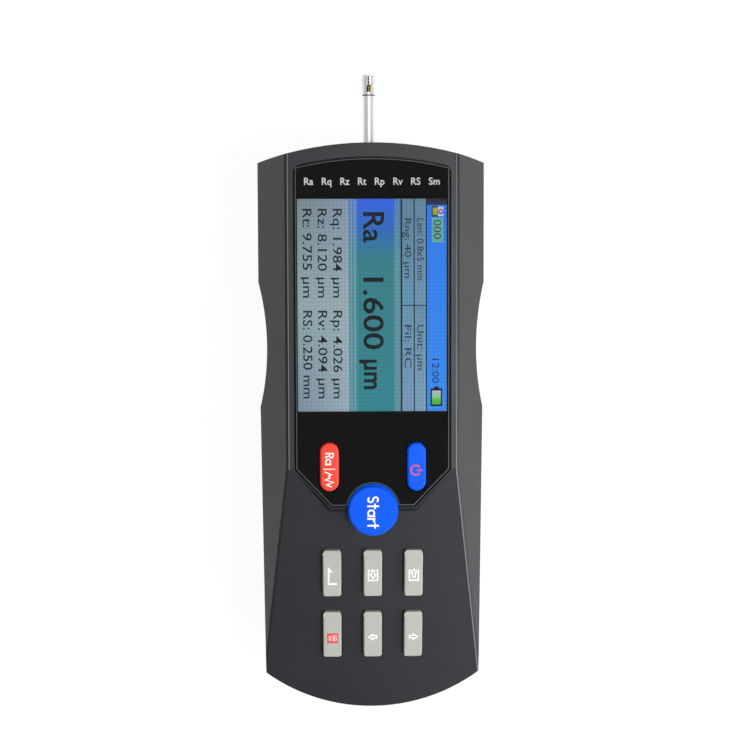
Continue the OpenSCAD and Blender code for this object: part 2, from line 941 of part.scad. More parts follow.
// A pan head screw whose head ends at z = 0 and whose shank reaches up by len
module pan_screw(len, d, head_d, head_h) {
    translate([0, 0, -head_h])
        cylinder(h = head_h, d = head_d);
    cylinder(h = len, d = d);
}

module board_screws() {
    color("silver") {
        both_sides()
            for (p = board_bosses)
                translate([p[0], p[1], board_z - board_t])
                    pan_screw(board_t + screw_bite, pilot_d, screw_head_d, screw_head_h);
        on_slope()
            both_sides()
                for (v = keypad_boss_v)
                    translate([keypad_boss_x, v, -keypad_depth - board_t])
                        pan_screw(board_t + short_screw_bite, pilot_d, screw_head_d, screw_head_h);
    }
}

module case_screws() {
    color("silver")
        both_sides()
            for (p = case_bosses)
                translate([p[0], p[1], case_head_dip + case_head_h])
                    pan_screw(case_screw_len - case_head_dip - case_head_h, case_screw_d, case_head_d, case_head_h);
}

module battery_pack() {
    color("#3c5a86")
        translate([0, battery_y1, floor_t + battery_h / 2])
            rotate([90, 0, 0])
                linear_extrude(height = battery_len)
                    round_rect(battery_w, battery_h, battery_r);
}

module charge_board() {
    color("#1f5a3a")
        difference() {
            translate([-charge_w / 2, charge_y0, charge_z])
                cube([charge_w, charge_y1 - charge_y0, charge_t]);
            both_sides()
                translate([charge_post[0], charge_post[1], charge_z - charge_t])
                    cylinder(h = 3 * charge_t, d = stake_d + 0.2);
        }
}

module usb_socket() {
    color("silver")
        translate([0, usb_y0, usb_z0])
            difference() {
                translate([-usb_w / 2 - usb_t, 0, 0])
                    cube([usb_w + 2 * usb_t, usb_len, usb_h + 2 * usb_t]);
                difference() {
                    translate([-usb_w / 2, -eps, usb_t])
                        cube([usb_w, usb_len - 1, usb_h]);
                    translate([-usb_w * 0.35, 1, usb_t + usb_h * 0.4])
                        cube([usb_w * 0.7, usb_len, usb_h * 0.3]);
                }
            }
}

// Slot that lets the carriage tongue pass down to the pickup
module tongue_slot(z, h) {
    translate([-slot_w / 2, slot_y0, z - eps])
        cube([slot_w, slot_y1 - slot_y0, h + 2 * eps]);
}

// Channel in the base, open below and at the pickup end, with feet on the floor
module pickup_channel() {
    w = channel_w + 2 * channel_t;
    foot = 3;
    color("#8d9196")
        difference() {
            union() {
                translate([-w / 2, channel_y0 - channel_t, 0])
                    cube([w, channel_y1 - channel_y0 + channel_t, drive_seat]);
                translate([-w / 2 - foot, channel_y0 - channel_t, floor_t])
                    cube([w + 2 * foot, channel_y1 - channel_y0 - 4, channel_t]);
            }
            translate([-channel_w / 2, channel_y0, -eps])
                cube([channel_w, reach, channel_h + eps]);
            tongue_slot(channel_h, channel_t);
        }
}

module rod_bores(d, y0, y1) {
    for (side = [-1, 1])
        translate([side * rod_x, y1, screw_z])
            rotate([90, 0, 0])
                cylinder(h = y1 - y0, d = d);
}

module screw_bore(d, y0, y1) {
    translate([0, y1, screw_z])
        rotate([90, 0, 0])
            cylinder(h = y1 - y0, d = d);
}

// Plate with the two end brackets and the cradle for the gear motor
module drive_frame() {
    bracket_h = screw_z + carriage_h / 2 - plate_top;
    color("#9a9ea3")
        difference() {
            union() {
                translate([-plate_w / 2, plate_y0, drive_seat])
                    cube([plate_w, plate_y1 - plate_y0, plate_t]);
                for (y = [back_bracket_y, front_bracket_y])
                    translate([-bracket_w / 2, y, plate_top - eps])
                        cube([bracket_w, bracket_t, bracket_h + eps]);
                translate([-gearbox_w / 2, motor_y, plate_top - eps])
                    cube([gearbox_w, motor_len + gearbox_len, cradle_z - plate_top + eps]);
            }
            tongue_slot(drive_seat, plate_t);
            rod_bores(rod_d + 2 * seat_gap, back_bracket_y - eps, front_bracket_y + bracket_t + eps);
            screw_bore(bearing_d + 2 * seat_gap, back_bracket_y - eps, front_bracket_y + bracket_t + eps);
            both_sides() {
                for (y = post_ys)
                    translate([post_x, y, drive_seat - eps])
                        cylinder(h = plate_t + 2 * eps, d = pilot_d + 0.4);
                translate([clamp_x(), clamp_y(), drive_seat - eps])
                    cylinder(h = plate_t + 2 * eps, d = pilot_d + 2 * seat_gap);
            }
        }
}

function clamp_x() = gearbox_w / 2 + clamp_foot * 2 / 3;
function clamp_y() = gearbox_y + gearbox_len / 2;

module guide_rods() {
    color("silver")
        rod_bores(rod_d, back_bracket_y, front_bracket_y + bracket_t);
}

// A flanged bush along Y: the flange sits at y = 0 and the body runs to +Y
module flanged_bush(len, d, flange_d, flange_t, bore) {
    rotate([-90, 0, 0])
        difference() {
            union() {
                cylinder(h = len, d = d);
                translate([0, 0, -flange_t])
                    cylinder(h = flange_t, d = flange_d);
            }
            translate([0, 0, -flange_t - eps])
                cylinder(h = len + flange_t + 2 * eps, d = bore);
        }
}

module screw_bearings() {
    bore = screw_d + 2 * run_gap;
    color("#c9a45a") {
        translate([0, back_bracket_y, screw_z])
            flanged_bush(bracket_t, bearing_d, bearing_flange_d, bearing_flange_t, bore);
        translate([0, front_bracket_y + bracket_t, screw_z])
            mirror([0, 1, 0])
                flanged_bush(bracket_t, bearing_d, bearing_flange_d, bearing_flange_t, bore);
    }
}

module motor_gearbox() {
    color("#b8a15c")
        difference() {
            translate([-gearbox_w / 2, gearbox_y, cradle_z])
                cube([gearbox_w, gearbox_len, gearbox_h]);
            screw_bore(screw_d + 2 * run_gap, gearbox_y + 3, gearbox_y + gearbox_len + eps);
        }
}

// Round motor can with two flats
module drive_motor() {
    color("#a9adb2")
        intersection() {
            screw_bore(gearbox_w, motor_y, motor_y + motor_len);
            translate([-gearbox_w, motor_y, cradle_z])
                cube([2 * gearbox_w, motor_len, gearbox_h]);
        }
}

// Strap over the gearbox with a foot on each side
module motor_clamp() {
    t = clamp_t;
    strap = clamp_len;
    foot = clamp_foot;
    top = cradle_z + gearbox_h;
    color("silver")
        translate([0, clamp_y() - strap / 2, 0])
            difference() {
                union() {
                    translate([-gearbox_w / 2 - t, 0, plate_top])
                        cube([gearbox_w + 2 * t, strap, top + t - plate_top]);
                    translate([-gearbox_w / 2 - foot, 0, plate_top])
                        cube([gearbox_w + 2 * foot, strap, t]);
                }
                translate([-gearbox_w / 2 - seat_gap, -eps, 0])
                    cube([gearbox_w + 2 * seat_gap, strap + 2 * eps, top]);
                both_sides()
                    translate([clamp_x(), strap / 2, plate_top - eps])
                        cylinder(h = t + 2 * eps, d = pilot_d + 0.4);
            }
}

// Two small switches beside the carriage, one for each end of its travel
module limit_switches() {
    color("#202124")
        for (y = [back_bracket_y + bracket_t + stop_gap, carriage_y + carriage_len / 2 - limit_len])
            translate([carriage_w / 2 + stop_gap, y, plate_top])
                cube([limit_w, limit_len, limit_h]);
}

module drive_screws() {
    color("silver") {
        both_sides() {
            for (y = post_ys)
                translate([post_x, y, plate_top])
                    mirror([0, 0, 1])
                        pan_screw(plate_t + screw_bite, pilot_d, screw_head_d, screw_head_h);
            translate([clamp_x(), clamp_y(), plate_top + clamp_t])
                mirror([0, 0, 1])
                    pan_screw(clamp_t + plate_t, pilot_d, screw_head_d, screw_head_h);
        }
    }
}

module lead_screw() {
    color("silver")
        screw_bore(screw_d, coupling_y + coupling_len / 2 + 0.2, front_bracket_y + bracket_t + 2);
}

module shaft_coupling() {
    color("#8d9196")
        difference() {
            screw_bore(coupling_d, coupling_y, coupling_y + coupling_len);
            screw_bore(screw_d + 2 * seat_gap, coupling_y - eps, coupling_y + coupling_len + eps);
        }
}

module motor_shaft() {
    color("silver")
        screw_bore(screw_d, gearbox_y + 3.2, coupling_y + coupling_len / 2 - 0.2);
}

// Block on the two rods, with the tongue that reaches down into the channel
module carriage() {
    y0 = carriage_y - carriage_len / 2;
    y1 = carriage_y + carriage_len / 2;
    color("#6f747a")
        difference() {
            union() {
                translate([-carriage_w / 2, y0, carriage_z])
                    cube([carriage_w, carriage_len, carriage_h]);
                translate([-tongue_w / 2, pivot_y - tongue_len / 2, pivot_z])
                    cube([tongue_w, tongue_len, carriage_z - pivot_z + eps]);
                translate([-tongue_w / 2, pivot_y, pivot_z])
                    rotate([0, 90, 0])
                        cylinder(h = tongue_w, r = ear_r);
            }
            rod_bores(bush_d + 2 * seat_gap, y0 - eps, y1 + eps);
            screw_bore(nut_d + 2 * seat_gap, y0 - eps, y1 + eps);
            translate([-reach / 2, pivot_y, pivot_z])
                rotate([0, 90, 0])
                    cylinder(h = reach, d = pivot_d + 2 * seat_gap);
        }
}

module carriage_bushes() {
    y0 = carriage_y - carriage_len / 2;
    y1 = carriage_y + carriage_len / 2;
    color("#c9a45a")
        difference() {
            rod_bores(bush_d, y0, y1);
            rod_bores(rod_d + 2 * run_gap, y0 - eps, y1 + eps);
        }
}

module screw_nut() {
    color("#c9a45a")
        translate([0, carriage_y + carriage_len / 2, screw_z])
            mirror([0, 1, 0])
                flanged_bush(carriage_len - 3, nut_d, nut_flange_d, nut_flange_t, screw_d + 2 * run_gap);
}

module pivot_pin() {
    half = tongue_w / 2 + tongue_gap + ear_t;
    color("silver")
        translate([-half, pivot_y, pivot_z])
            rotate([0, 90, 0])
                cylinder(h = 2 * half, d = pivot_d);
}

function pin_points() = [for (a = [45:90:315]) [1.3 * cos(a), 1.3 * sin(a)]];

module contact_holes(d, y0, y1) {
    for (p = pin_points())
        translate([p[0], y1, pickup_z + p[1]])
            rotate([90, 0, 0])
                cylinder(h = y1 - y0, d = d);
}

// Socket that hangs on the pivot pin by two ears and takes the pickup's spigot
module pickup_socket() {
    groove = tongue_w / 2 + tongue_gap;
    color("#2f3134")
        difference() {
            union() {
                translate([-socket_w / 2, socket_y0, socket_z0])
                    cube([socket_w, socket_len, socket_top - socket_z0]);
                translate([-groove - ear_t, pivot_y, pivot_z])
                    rotate([0, 90, 0])
                        cylinder(h = 2 * (groove + ear_t), r = ear_r);
                translate([-groove - ear_t, pivot_y - ear_r, socket_top - eps])
                    cube([2 * (groove + ear_t), 2 * ear_r, pivot_z - socket_top + eps]);
            }
            translate([-groove, pivot_y - tongue_len / 2 - 0.6, pivot_z - ear_r - tongue_gap])
                cube([2 * groove, tongue_len + 1.2, reach]);
            translate([-reach / 2, pivot_y, pivot_z])
                rotate([0, 90, 0])
                    cylinder(h = reach, d = pivot_d + 2 * run_gap);
            translate([0, socket_y1 + eps, pickup_z])
                rotate([90, 0, 0])
                    cylinder(h = spigot_len + 0.1, d = spigot_d + 2 * seat_gap);
            contact_holes(pin_d + 2 * seat_gap, socket_y1 - spigot_len - 3.2, socket_y1);
        }
}

module contact_pins() {
    color("gold")
        contact_holes(pin_d, socket_y1 - spigot_len - 3, socket_y1 - spigot_len + 1);
}

// Stepped barrel with an eccentric bore for the tube
module pickup_body() {
    cone = 1.5;
    color("#c4c7ca")
        difference() {
            translate([0, socket_y1, pickup_z])
                rotate([-90, 0, 0]) {
                    translate([0, 0, -spigot_len])
                        cylinder(h = spigot_len, d = spigot_d);
                    cylinder(h = pickup_len - cone, d = pickup_d);
                    translate([0, 0, pickup_len - cone])
                        cylinder(h = cone, d1 = pickup_d, d2 = pickup_d - 0.9);
                }
            translate([0, reach, tube_z])
                rotate([90, 0, 0])
                    cylinder(h = reach - tube_y0, d = tube_d + 2 * seat_gap);
            contact_holes(pin_d + 2 * seat_gap, socket_y1 - spigot_len - eps, socket_y1 - spigot_len + 1.1);
        }
}

module tube_rod(d, y0, y1) {
    translate([0, y1, tube_z])
        rotate([90, 0, 0])
            cylinder(h = y1 - y0, d = d);
}

module stylus_pin_rod(d, half) {
    translate([-half, stylus_pivot_y, tube_z])
        rotate([0, 90, 0])
            cylinder(h = 2 * half, d = d);
}

module pickup_tube() {
    color("#d9dadb")
        difference() {
            tube_rod(tube_d, tube_y0, tube_y1);
            tube_rod(tube_bore, tube_y0 + 1, tube_y1 + eps);
            stylus_pin_rod(pin_d + 2 * seat_gap, reach / 2);
        }
}

// Sleeve with a stepped slit on top and a hole for the stylus below
module pickup_nose() {
    front_wall = 0.5;
    bevel = 0.3;
    step_y = tip_y - nose_len * 0.5;
    color("#e2e3e4")
        difference() {
            union() {
                tube_rod(nose_d, nose_y0, tip_y - bevel);
                translate([0, tip_y - bevel, tube_z])
                    rotate([-90, 0, 0])
                        cylinder(h = bevel, d1 = nose_d, d2 = nose_d - 2 * bevel);
            }
            tube_rod(tube_d + 2 * seat_gap, nose_y0 - eps, tube_y1 + 0.1);
            tube_rod(tube_bore + 0.2, nose_y0, tip_y - front_wall);
            translate([-slit_w / 2, nose_y0 + 1, tube_z])
                cube([slit_w, nose_len, nose_d]);
            translate([-slit_back_w / 2, nose_y0 + 0.5, tube_z])
                cube([slit_back_w, step_y - nose_y0 - 0.5, nose_d]);
            translate([0, stylus_y, -eps])
                cylinder(h = tube_z, d = stylus_hole_d);
            translate([-nose_d, stylus_y - 1.5, skid_seat_z - nose_d])
                cube([2 * nose_d, 3, nose_d]);
        }
}

// Polished dome around the stylus that slides on the work
module skid() {
    dome_z = skid_z + skid_r;
    color("#b0303a")
        translate([0, stylus_y, 0])
            difference() {
                intersection() {
                    translate([0, 0, dome_z])
                        sphere(r = skid_r);
                    translate([-1, -1, skid_z])
                        cube([2, 2, skid_seat_z - skid_z]);
                }
                cylinder(h = tube_z, d = stylus_hole_d - 0.2);
            }
}

module stylus_pin() {
    color("silver")
        stylus_pin_rod(pin_d, tube_d / 2 - 0.1);
}

// Rocking arm on its pin, with the core of the sensor behind it
module stylus_arm() {
    hub = 1.1;
    color("#b98a3c")
        difference() {
            union() {
                tube_rod(arm_d, 2 * stylus_pivot_y - tip_y, stylus_y + arm_d / 2);
                translate([-hub / 2, stylus_pivot_y, tube_z])
                    rotate([0, 90, 0])
                        cylinder(h = hub, d = pin_d + 0.7);
            }
            stylus_pin_rod(pin_d + 2 * run_gap, reach / 2);
            translate([0, stylus_y, 0])
                cylinder(h = tube_z - 0.1, d = 0.4);
        }
}

module stylus_tip() {
    shank = 0.36;
    point_z = skid_z - 0.1;
    color("#efe6d2")
        translate([0, stylus_y, 0]) {
            translate([0, 0, point_z + 0.4])
                cylinder(h = tube_z - 0.1 - point_z - 0.4, d = shank);
            translate([0, 0, point_z])
                cylinder(h = 0.4, d1 = 0.05, d2 = shank);
        }
}

// Half profile of a cap with a round upper edge: half width w, from z0 to z1
module cap_profile(w, z0, z1, round) {
    translate([0, z0])
        square([w, z1 - z0 - round]);
    translate([0, z0])
        square([w - round, z1 - z0]);
    translate([w - round, z1 - round])
        circle(r = round);
}

module stem(z0, z1) {
    translate([0, 0, z0])
        cylinder(h = z1 - z0, d = stem_d);
}

// A round bar square to the slope under the start button's place
module start_bar(r, n0, n1) {
    on_slope()
        translate([0, start_v, n0])
            cylinder(h = n1 - n0, r = r);
}

// What lies outside a cone that bevels the upper edge of the start button
module start_bevel() {
    r = start_r / cos(slope_deg) + 0.1;
    translate([0, start_y, start_z - start_round])
        difference() {
            cylinder(h = 2 * start_round, r = 2 * start_r);
            translate([0, 0, -eps])
                cylinder(h = 2 * start_round + 2 * eps, r1 = r + eps, r2 = r - 2 * start_round - eps);
        }
}

// Moulded cup that moves square to the slope, with its top level with the display face
module start_button() {
    skin = 1.6;
    n0 = start_ceiling_n - flange_t;
    color("#155ff9") {
        difference() {
            union() {
                start_bar(start_r, n0, start_top_n + start_r);
                start_bar(start_r + button_flange, n0, start_ceiling_n);
            }
            beyond([0, 0, 1], [0, 0, start_z]);
            start_bevel();
            intersection() {
                start_bar(start_r - skin, n0 - eps, start_top_n + start_r);
                slab(0, start_z - skin);
            }
        }
        start_bar(stem_d / 2, stem_n, start_top_n - skin / 2);
    }
}

// Stadium cap with a round edge, its flange and its stem
module pill_button(x) {
    top = body_h + lens_proud + pill_proud;
    z0 = pill_flange_z - flange_t;
    run = pill_len - pill_w;
    translate([x, pill_y, 0]) {
        for (side = [-1, 1])
            translate([0, side * run / 2, 0])
                rotate_extrude()
                    cap_profile(pill_w / 2, z0, top, pill_round);
        translate([0, run / 2, 0])
            rotate([90, 0, 0])
                linear_extrude(height = run) {
                    cap_profile(pill_w / 2, z0, top, pill_round);
                    mirror([1, 0])
                        cap_profile(pill_w / 2, z0, top, pill_round);
                }
        translate([0, 0, z0])
            linear_extrude(height = flange_t)
                pill_outline(button_flange);
        stem(board_z + switch_h - switch_dip, z0 + eps);
    }
}

module mode_button() {
    color("#ea5040")
        pill_button(-pill_x);
}

module power_button() {
    color("#155ff9")
        pill_button(pill_x);
}

// One key: a block with round corners, a wide bevel at its upper end and fine ones elsewhere
module key_cap(col, row) {
    z0 = ceiling_n - flange_t;
    w = key_w / 2;
    l = key_len / 2;
    color("#cfcdc6")
        on_slope()
            translate([key_cols[col], key_rows[row], 0]) {
                difference() {
                    translate([0, 0, z0])
                        linear_extrude(height = key_proud - z0)
                            round_rect(key_w, key_len, key_corner_r);
                    beyond([0, key_fall, key_bevel], [0, l - key_bevel, key_proud]);
                    beyond([0, -1, 1], [0, key_edge - l, key_proud]);
                    both_sides()
                        beyond([1, 0, 1], [w - key_edge, 0, key_proud]);
                }
                translate([0, 0, z0])
                    linear_extrude(height = flange_t)
                        round_rect(key_w + 2 * button_flange, key_len + 2 * button_flange, key_corner_r);
                stem(stem_n, z0 + eps);
            }
}

module enter_key() {
    key_cap(0, 0);
}

module save_key() {
    key_cap(1, 0);
}

module recall_key() {
    key_cap(2, 0);
}

module print_key() {
    key_cap(0, 1);
}

module left_key() {
    key_cap(1, 1);
}

module right_key() {
    key_cap(2, 1);
}

front_shell();
rear_shell();
window_lens();
lens_mask();
display_panel();
display_carrier();
display_ribbon();
main_board();
board_chips();
keypad_board();
button_switches();
board_screws();
case_screws();
battery_pack();
charge_board();
usb_socket();
pickup_channel();
drive_frame();
guide_rods();
screw_bearings();
motor_gearbox();
drive_motor();
motor_clamp();
limit_switches();
drive_screws();
lead_screw();
shaft_coupling();
motor_shaft();
carriage();
carriage_bushes();
screw_nut();
pivot_pin();
pickup_socket();
contact_pins();
pickup_body();
pickup_tube();
pickup_nose();
skid();
stylus_pin();
stylus_arm();
stylus_tip();
start_button();
mode_button();
power_button();
enter_key();
save_key();
recall_key();
print_key();
left_key();
right_key();
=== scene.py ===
# %% [markdown]
# # A hand-held surface roughness tester
# The tester draws a fine stylus over a workpiece and shows how rough it is. Here it lies on its back
# and is seen from above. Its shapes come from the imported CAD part. This script gives each of them its
# finish and adds what is printed, lit, worn or too fine for the CAD: the picture on the display, the
# signs on the buttons, the pale creases, the thread of the lead screw and the recesses of the screws.

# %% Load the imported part
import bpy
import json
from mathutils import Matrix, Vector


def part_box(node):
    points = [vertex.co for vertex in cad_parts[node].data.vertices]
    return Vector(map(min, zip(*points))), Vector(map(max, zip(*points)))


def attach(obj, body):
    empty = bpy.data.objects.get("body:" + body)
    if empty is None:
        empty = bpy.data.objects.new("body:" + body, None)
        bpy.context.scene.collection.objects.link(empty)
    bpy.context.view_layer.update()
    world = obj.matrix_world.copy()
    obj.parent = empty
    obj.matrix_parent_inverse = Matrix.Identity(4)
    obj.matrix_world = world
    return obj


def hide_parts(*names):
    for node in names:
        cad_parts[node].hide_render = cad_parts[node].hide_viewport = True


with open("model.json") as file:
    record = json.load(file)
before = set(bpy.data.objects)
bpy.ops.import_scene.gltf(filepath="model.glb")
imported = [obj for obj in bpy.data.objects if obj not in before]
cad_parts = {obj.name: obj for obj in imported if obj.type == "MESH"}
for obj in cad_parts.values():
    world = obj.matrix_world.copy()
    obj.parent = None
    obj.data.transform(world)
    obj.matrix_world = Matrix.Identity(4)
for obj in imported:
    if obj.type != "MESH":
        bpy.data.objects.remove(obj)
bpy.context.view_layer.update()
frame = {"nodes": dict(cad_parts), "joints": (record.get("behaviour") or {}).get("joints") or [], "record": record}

import json
import math

import bmesh
import bpy
import numpy as np
from mathutils import Matrix, Vector

MM = 0.001
NODES = frame["nodes"]
SLOT_OF = {part["node"]: part["material_slot"] for part in frame["record"]["subparts"]}
BODIES = frame["record"]["behaviour"]["bodies"]
BODY_OF = {node: body for body, members in BODIES.items() for node in members}

# %% [markdown]
# ## Places on the CAD part
# Every print lies on the face that carries it. The places could be typed in, but they are read from
# the CAD meshes, so that the prints follow when the part is packed again. A mesh is read as whole
# arrays, which is much quicker than asking for one point after the other. The keypad slopes, and the
# direction in which its keys are pressed gives the slope.

# %% Reading CAD meshes
TOUCH = 2e-6  # metres: corners nearer to each other than this are one corner


def triangles(node):
    """A node's mesh as arrays: the three corners of each triangle, in metres, and its normal."""
    data = NODES[node].data
    points = np.empty((len(data.vertices), 3), np.float32)
    data.vertices.foreach_get("co", points.ravel())
    numbers = np.empty(len(data.loops), np.int32)
    data.loops.foreach_get("vertex_index", numbers)
    normals = np.empty((len(data.polygons), 3), np.float32)
    data.polygons.foreach_get("normal", normals.ravel())
    return points[numbers].reshape(-1, 3, 3).astype(float), normals.astype(float)


def top_centre(node, out):
    """The middle of a node's outermost face along a direction: the box of the corners whose reach,
    which is their dot product with the direction, is the largest."""
    points = triangles(node)[0].reshape(-1, 3)
    reach = points @ out
    face = points[reach > reach.max() - TOUCH]
    return (face.min(0) + face.max(0)) / 2


def press_axis(name):
    """The unit direction out of the case along which a button moves."""
    joint = next(joint for joint in frame["joints"] if joint["name"] == name)
    return -np.array(joint["axis"], float)


ACROSS = np.array([1.0, 0.0, 0.0])
FLAT_UP = np.array([0.0, 1.0, 0.0])
FLAT_OUT = np.array([0.0, 0.0, 1.0])
SLOPE_OUT = press_axis("enter_press")
SLOPE_UP = np.cross(SLOPE_OUT, ACROSS)
print("the keypad slopes by", round(math.degrees(math.acos(SLOPE_OUT[2])), 1), "degrees")

# %% [markdown]
# ## Colours and shader nodes
# Colours are written as screen values, and one function turns them into the linear light that Blender
# works with. Every material is a small tree of shader nodes. It could be drawn by hand in the shader
# editor; here one function adds a node and fills its sockets with a number, a colour or a link.

# %% Colour and shader helpers
def linear(code):
    """A hex screen colour as linear light, with full alpha, by the sRGB curve."""
    values = [int(code[i:i + 2], 16) / 255 for i in (1, 3, 5)]
    return [v / 12.92 if v <= 0.04045 else ((v + 0.055) / 1.055) ** 2.4 for v in values] + [1.0]


def add(tree, kind, sockets=None, **settings):
    """Add one shader node, apply its settings, then fill or link its named input sockets."""
    node = tree.nodes.new("ShaderNode" + kind)
    for key, value in settings.items():
        setattr(node, key, value)
    for key, value in (sockets or {}).items():
        if isinstance(value, bpy.types.NodeSocket):
            tree.links.new(value, node.inputs[key])
        else:
            node.inputs[key].default_value = value
    return node


def new_material(name):
    """An empty material and its tree of nodes."""
    material = bpy.data.materials.new(name)
    material.use_nodes = True
    material.node_tree.nodes.clear()
    return material, material.node_tree


print("screen grey #808080 is", round(linear("#808080")[0], 3), "in linear light")

# %% [markdown]
# ## Moulded plastics
# Most of the tester is injection-moulded. The surface is that of the mould: a spark-eroded mould leaves
# fine pits, a polished one leaves a mirror. The pits are a noise that tips the normal. They could be real
# geometry, but bump is enough for something this shallow. A second, slow noise changes the roughness,
# because hands polish some areas more than others.

# %% Plastic recipe
DRIFT_MM = 14         # size of the areas that handling polishes
ROUGHNESS_DRIFT = 0.05


def plastic(name, code, roughness, grain_mm, depth_mm, coat=0.0, gloss=0.5):
    """Moulded plastic: one colour, a fine grain in the normal and a slow drift in roughness. Real grain
    is a twentieth of a millimetre, too fine to show, so it is drawn as coarse as grain_mm says."""
    material, tree = new_material(name)
    place = add(tree, "TexCoord").outputs["Object"]
    grain = add(tree, "TexNoise", {"Vector": place, "Scale": 1 / (grain_mm * MM), "Detail": 2.0})
    drift = add(tree, "TexNoise", {"Vector": place, "Scale": 1 / (DRIFT_MM * MM), "Detail": 3.0})
    rough = add(tree, "MapRange", {
        "Value": drift.outputs["Fac"], "To Min": roughness - ROUGHNESS_DRIFT,
        "To Max": roughness + ROUGHNESS_DRIFT})
    bump = add(tree, "Bump", {
        "Height": grain.outputs["Fac"], "Strength": 0.6, "Distance": depth_mm * MM})
    shader = add(tree, "BsdfPrincipled", {
        "Base Color": linear(code), "Roughness": rough.outputs["Result"],
        "Normal": bump.outputs["Normal"], "Specular IOR Level": gloss,
        "Coat Weight": coat, "Coat Roughness": 0.08})
    add(tree, "OutputMaterial", {"Surface": shader.outputs["BSDF"]})
    return material


FINISHES = {}
print("plastic recipe ready, polished areas of", DRIFT_MM, "mm")

# %% Plastics that the hand meets
# ABS from a spark-eroded mould: the pits spread the light, so it is a dull charcoal with a broad sheen.
FINISHES["case_plastic"] = plastic(
    "abs_spark_eroded_grey", "#1f2126", roughness=0.42, grain_mm=0.3, depth_mm=0.03, gloss=0.46)
# The same mould finish on the base, a little darker and rougher: its sheen is hardly seen.
FINISHES["base_plastic"] = plastic(
    "abs_spark_eroded_dark", "#1e1f23", roughness=0.46, grain_mm=0.3, depth_mm=0.03)
# ABS coloured right through, from a fine mould: a strong flat blue with almost no reflection.
FINISHES["start_blue"] = plastic(
    "abs_moulded_blue", "#0058ea", roughness=0.42, grain_mm=0.25, depth_mm=0.008, gloss=0.12)
# The same in red, with a little more shine, so that its long edges show.
FINISHES["mode_red"] = plastic(
    "abs_moulded_red", "#ee4331", roughness=0.42, grain_mm=0.25, depth_mm=0.008, gloss=0.3)
# The same in a slightly lighter blue.
FINISHES["power_blue"] = plastic(
    "abs_moulded_clear_blue", "#0359ea", roughness=0.42, grain_mm=0.25, depth_mm=0.008, gloss=0.12)
# Warm light grey ABS: silky, so the rounded edges of the keys stand out as soft bright lines.
FINISHES["key_grey"] = plastic(
    "abs_moulded_warm_grey", "#b4b3ab", roughness=0.45, grain_mm=0.25, depth_mm=0.012)
print("outer plastics:", ", ".join(FINISHES))

# %% Plastics inside the case and small clear stones
# Black ink printed behind the lens: even and without grain, which makes the window a deep black.
FINISHES["mask_print"] = plastic(
    "ink_black_screen_printed", "#0d0d0e", roughness=0.35, grain_mm=0.2, depth_mm=0.002)
# The film over the display: a smooth dark grey, seen only beside the lit picture.
FINISHES["display"] = plastic(
    "display_cover_film", "#3d4245", roughness=0.3, grain_mm=0.4, depth_mm=0.002)
# Black ABS from a plain mould: dull and even.
FINISHES["carrier_plastic"] = plastic(
    "abs_moulded_black", "#26272a", roughness=0.5, grain_mm=0.3, depth_mm=0.02)
# Polyimide film: amber and smooth, with a clear highlight where it bends.
FINISHES["ribbon_film"] = plastic(
    "polyimide_film_amber", "#b5651d", roughness=0.3, grain_mm=0.3, depth_mm=0.002)
# Glass-fibre board under solder mask: a glossy green, made uneven by the weave below.
FINISHES["circuit_board"] = plastic(
    "glass_fibre_solder_masked", "#1f5a3a", roughness=0.35, grain_mm=0.5, depth_mm=0.01)
# Moulded resin of the chips: black, dry and matt.
FINISHES["chip_resin"] = plastic(
    "resin_moulded_black", "#1b1b1d", roughness=0.55, grain_mm=0.15, depth_mm=0.01)
# Moulded nylon of the switches: black with a silky touch.
FINISHES["switch_plastic"] = plastic(
    "nylon_moulded_black", "#26282b", roughness=0.5, grain_mm=0.3, depth_mm=0.02)
# The battery's shrunk sleeve: blue, glossy and slightly wavy.
FINISHES["battery_sleeve"] = plastic(
    "sleeve_shrunk_blue", "#3c5a86", roughness=0.25, grain_mm=0.8, depth_mm=0.01, coat=0.4)
# Glass-filled nylon: dark grey, and rougher than plain nylon because fibres lie at its surface.
FINISHES["socket_plastic"] = plastic(
    "nylon_glass_filled", "#2f3134", roughness=0.5, grain_mm=0.25, depth_mm=0.02)
# Polished ruby of the skid: a deep red with a small sharp highlight.
FINISHES["skid_ruby"] = plastic(
    "ruby_polished", "#8c1f28", roughness=0.08, grain_mm=0.3, depth_mm=0.0005, coat=0.6)
# Lapped diamond of the tip: pale, and the brightest point of the stylus.
FINISHES["tip_diamond"] = plastic(
    "diamond_lapped", "#efe6d2", roughness=0.05, grain_mm=0.3, depth_mm=0.0005, coat=0.8)
print("plastics and stones in all:", len(FINISHES))

# %% [markdown]
# ## Metals
# Turned, ground and drawn parts keep fine lines round or along them. The shader's anisotropy could
# stretch the highlight, but it would show no lines close up. Here a noise that is stretched fifty times
# makes the lines. They change the roughness and the normal, not the colour, which is why a highlight on
# them breaks into streaks.

# %% Metal recipe
LENGTHWISE = (1.0, 0.02, 1.0)   # scale of the noise on each axis, for lines along Y
ROUNDWISE = (0.02, 1.0, 0.02)   # the same for lines round Y
LINE_CONTRAST = 0.3             # how much the lines change the roughness, as a share of it


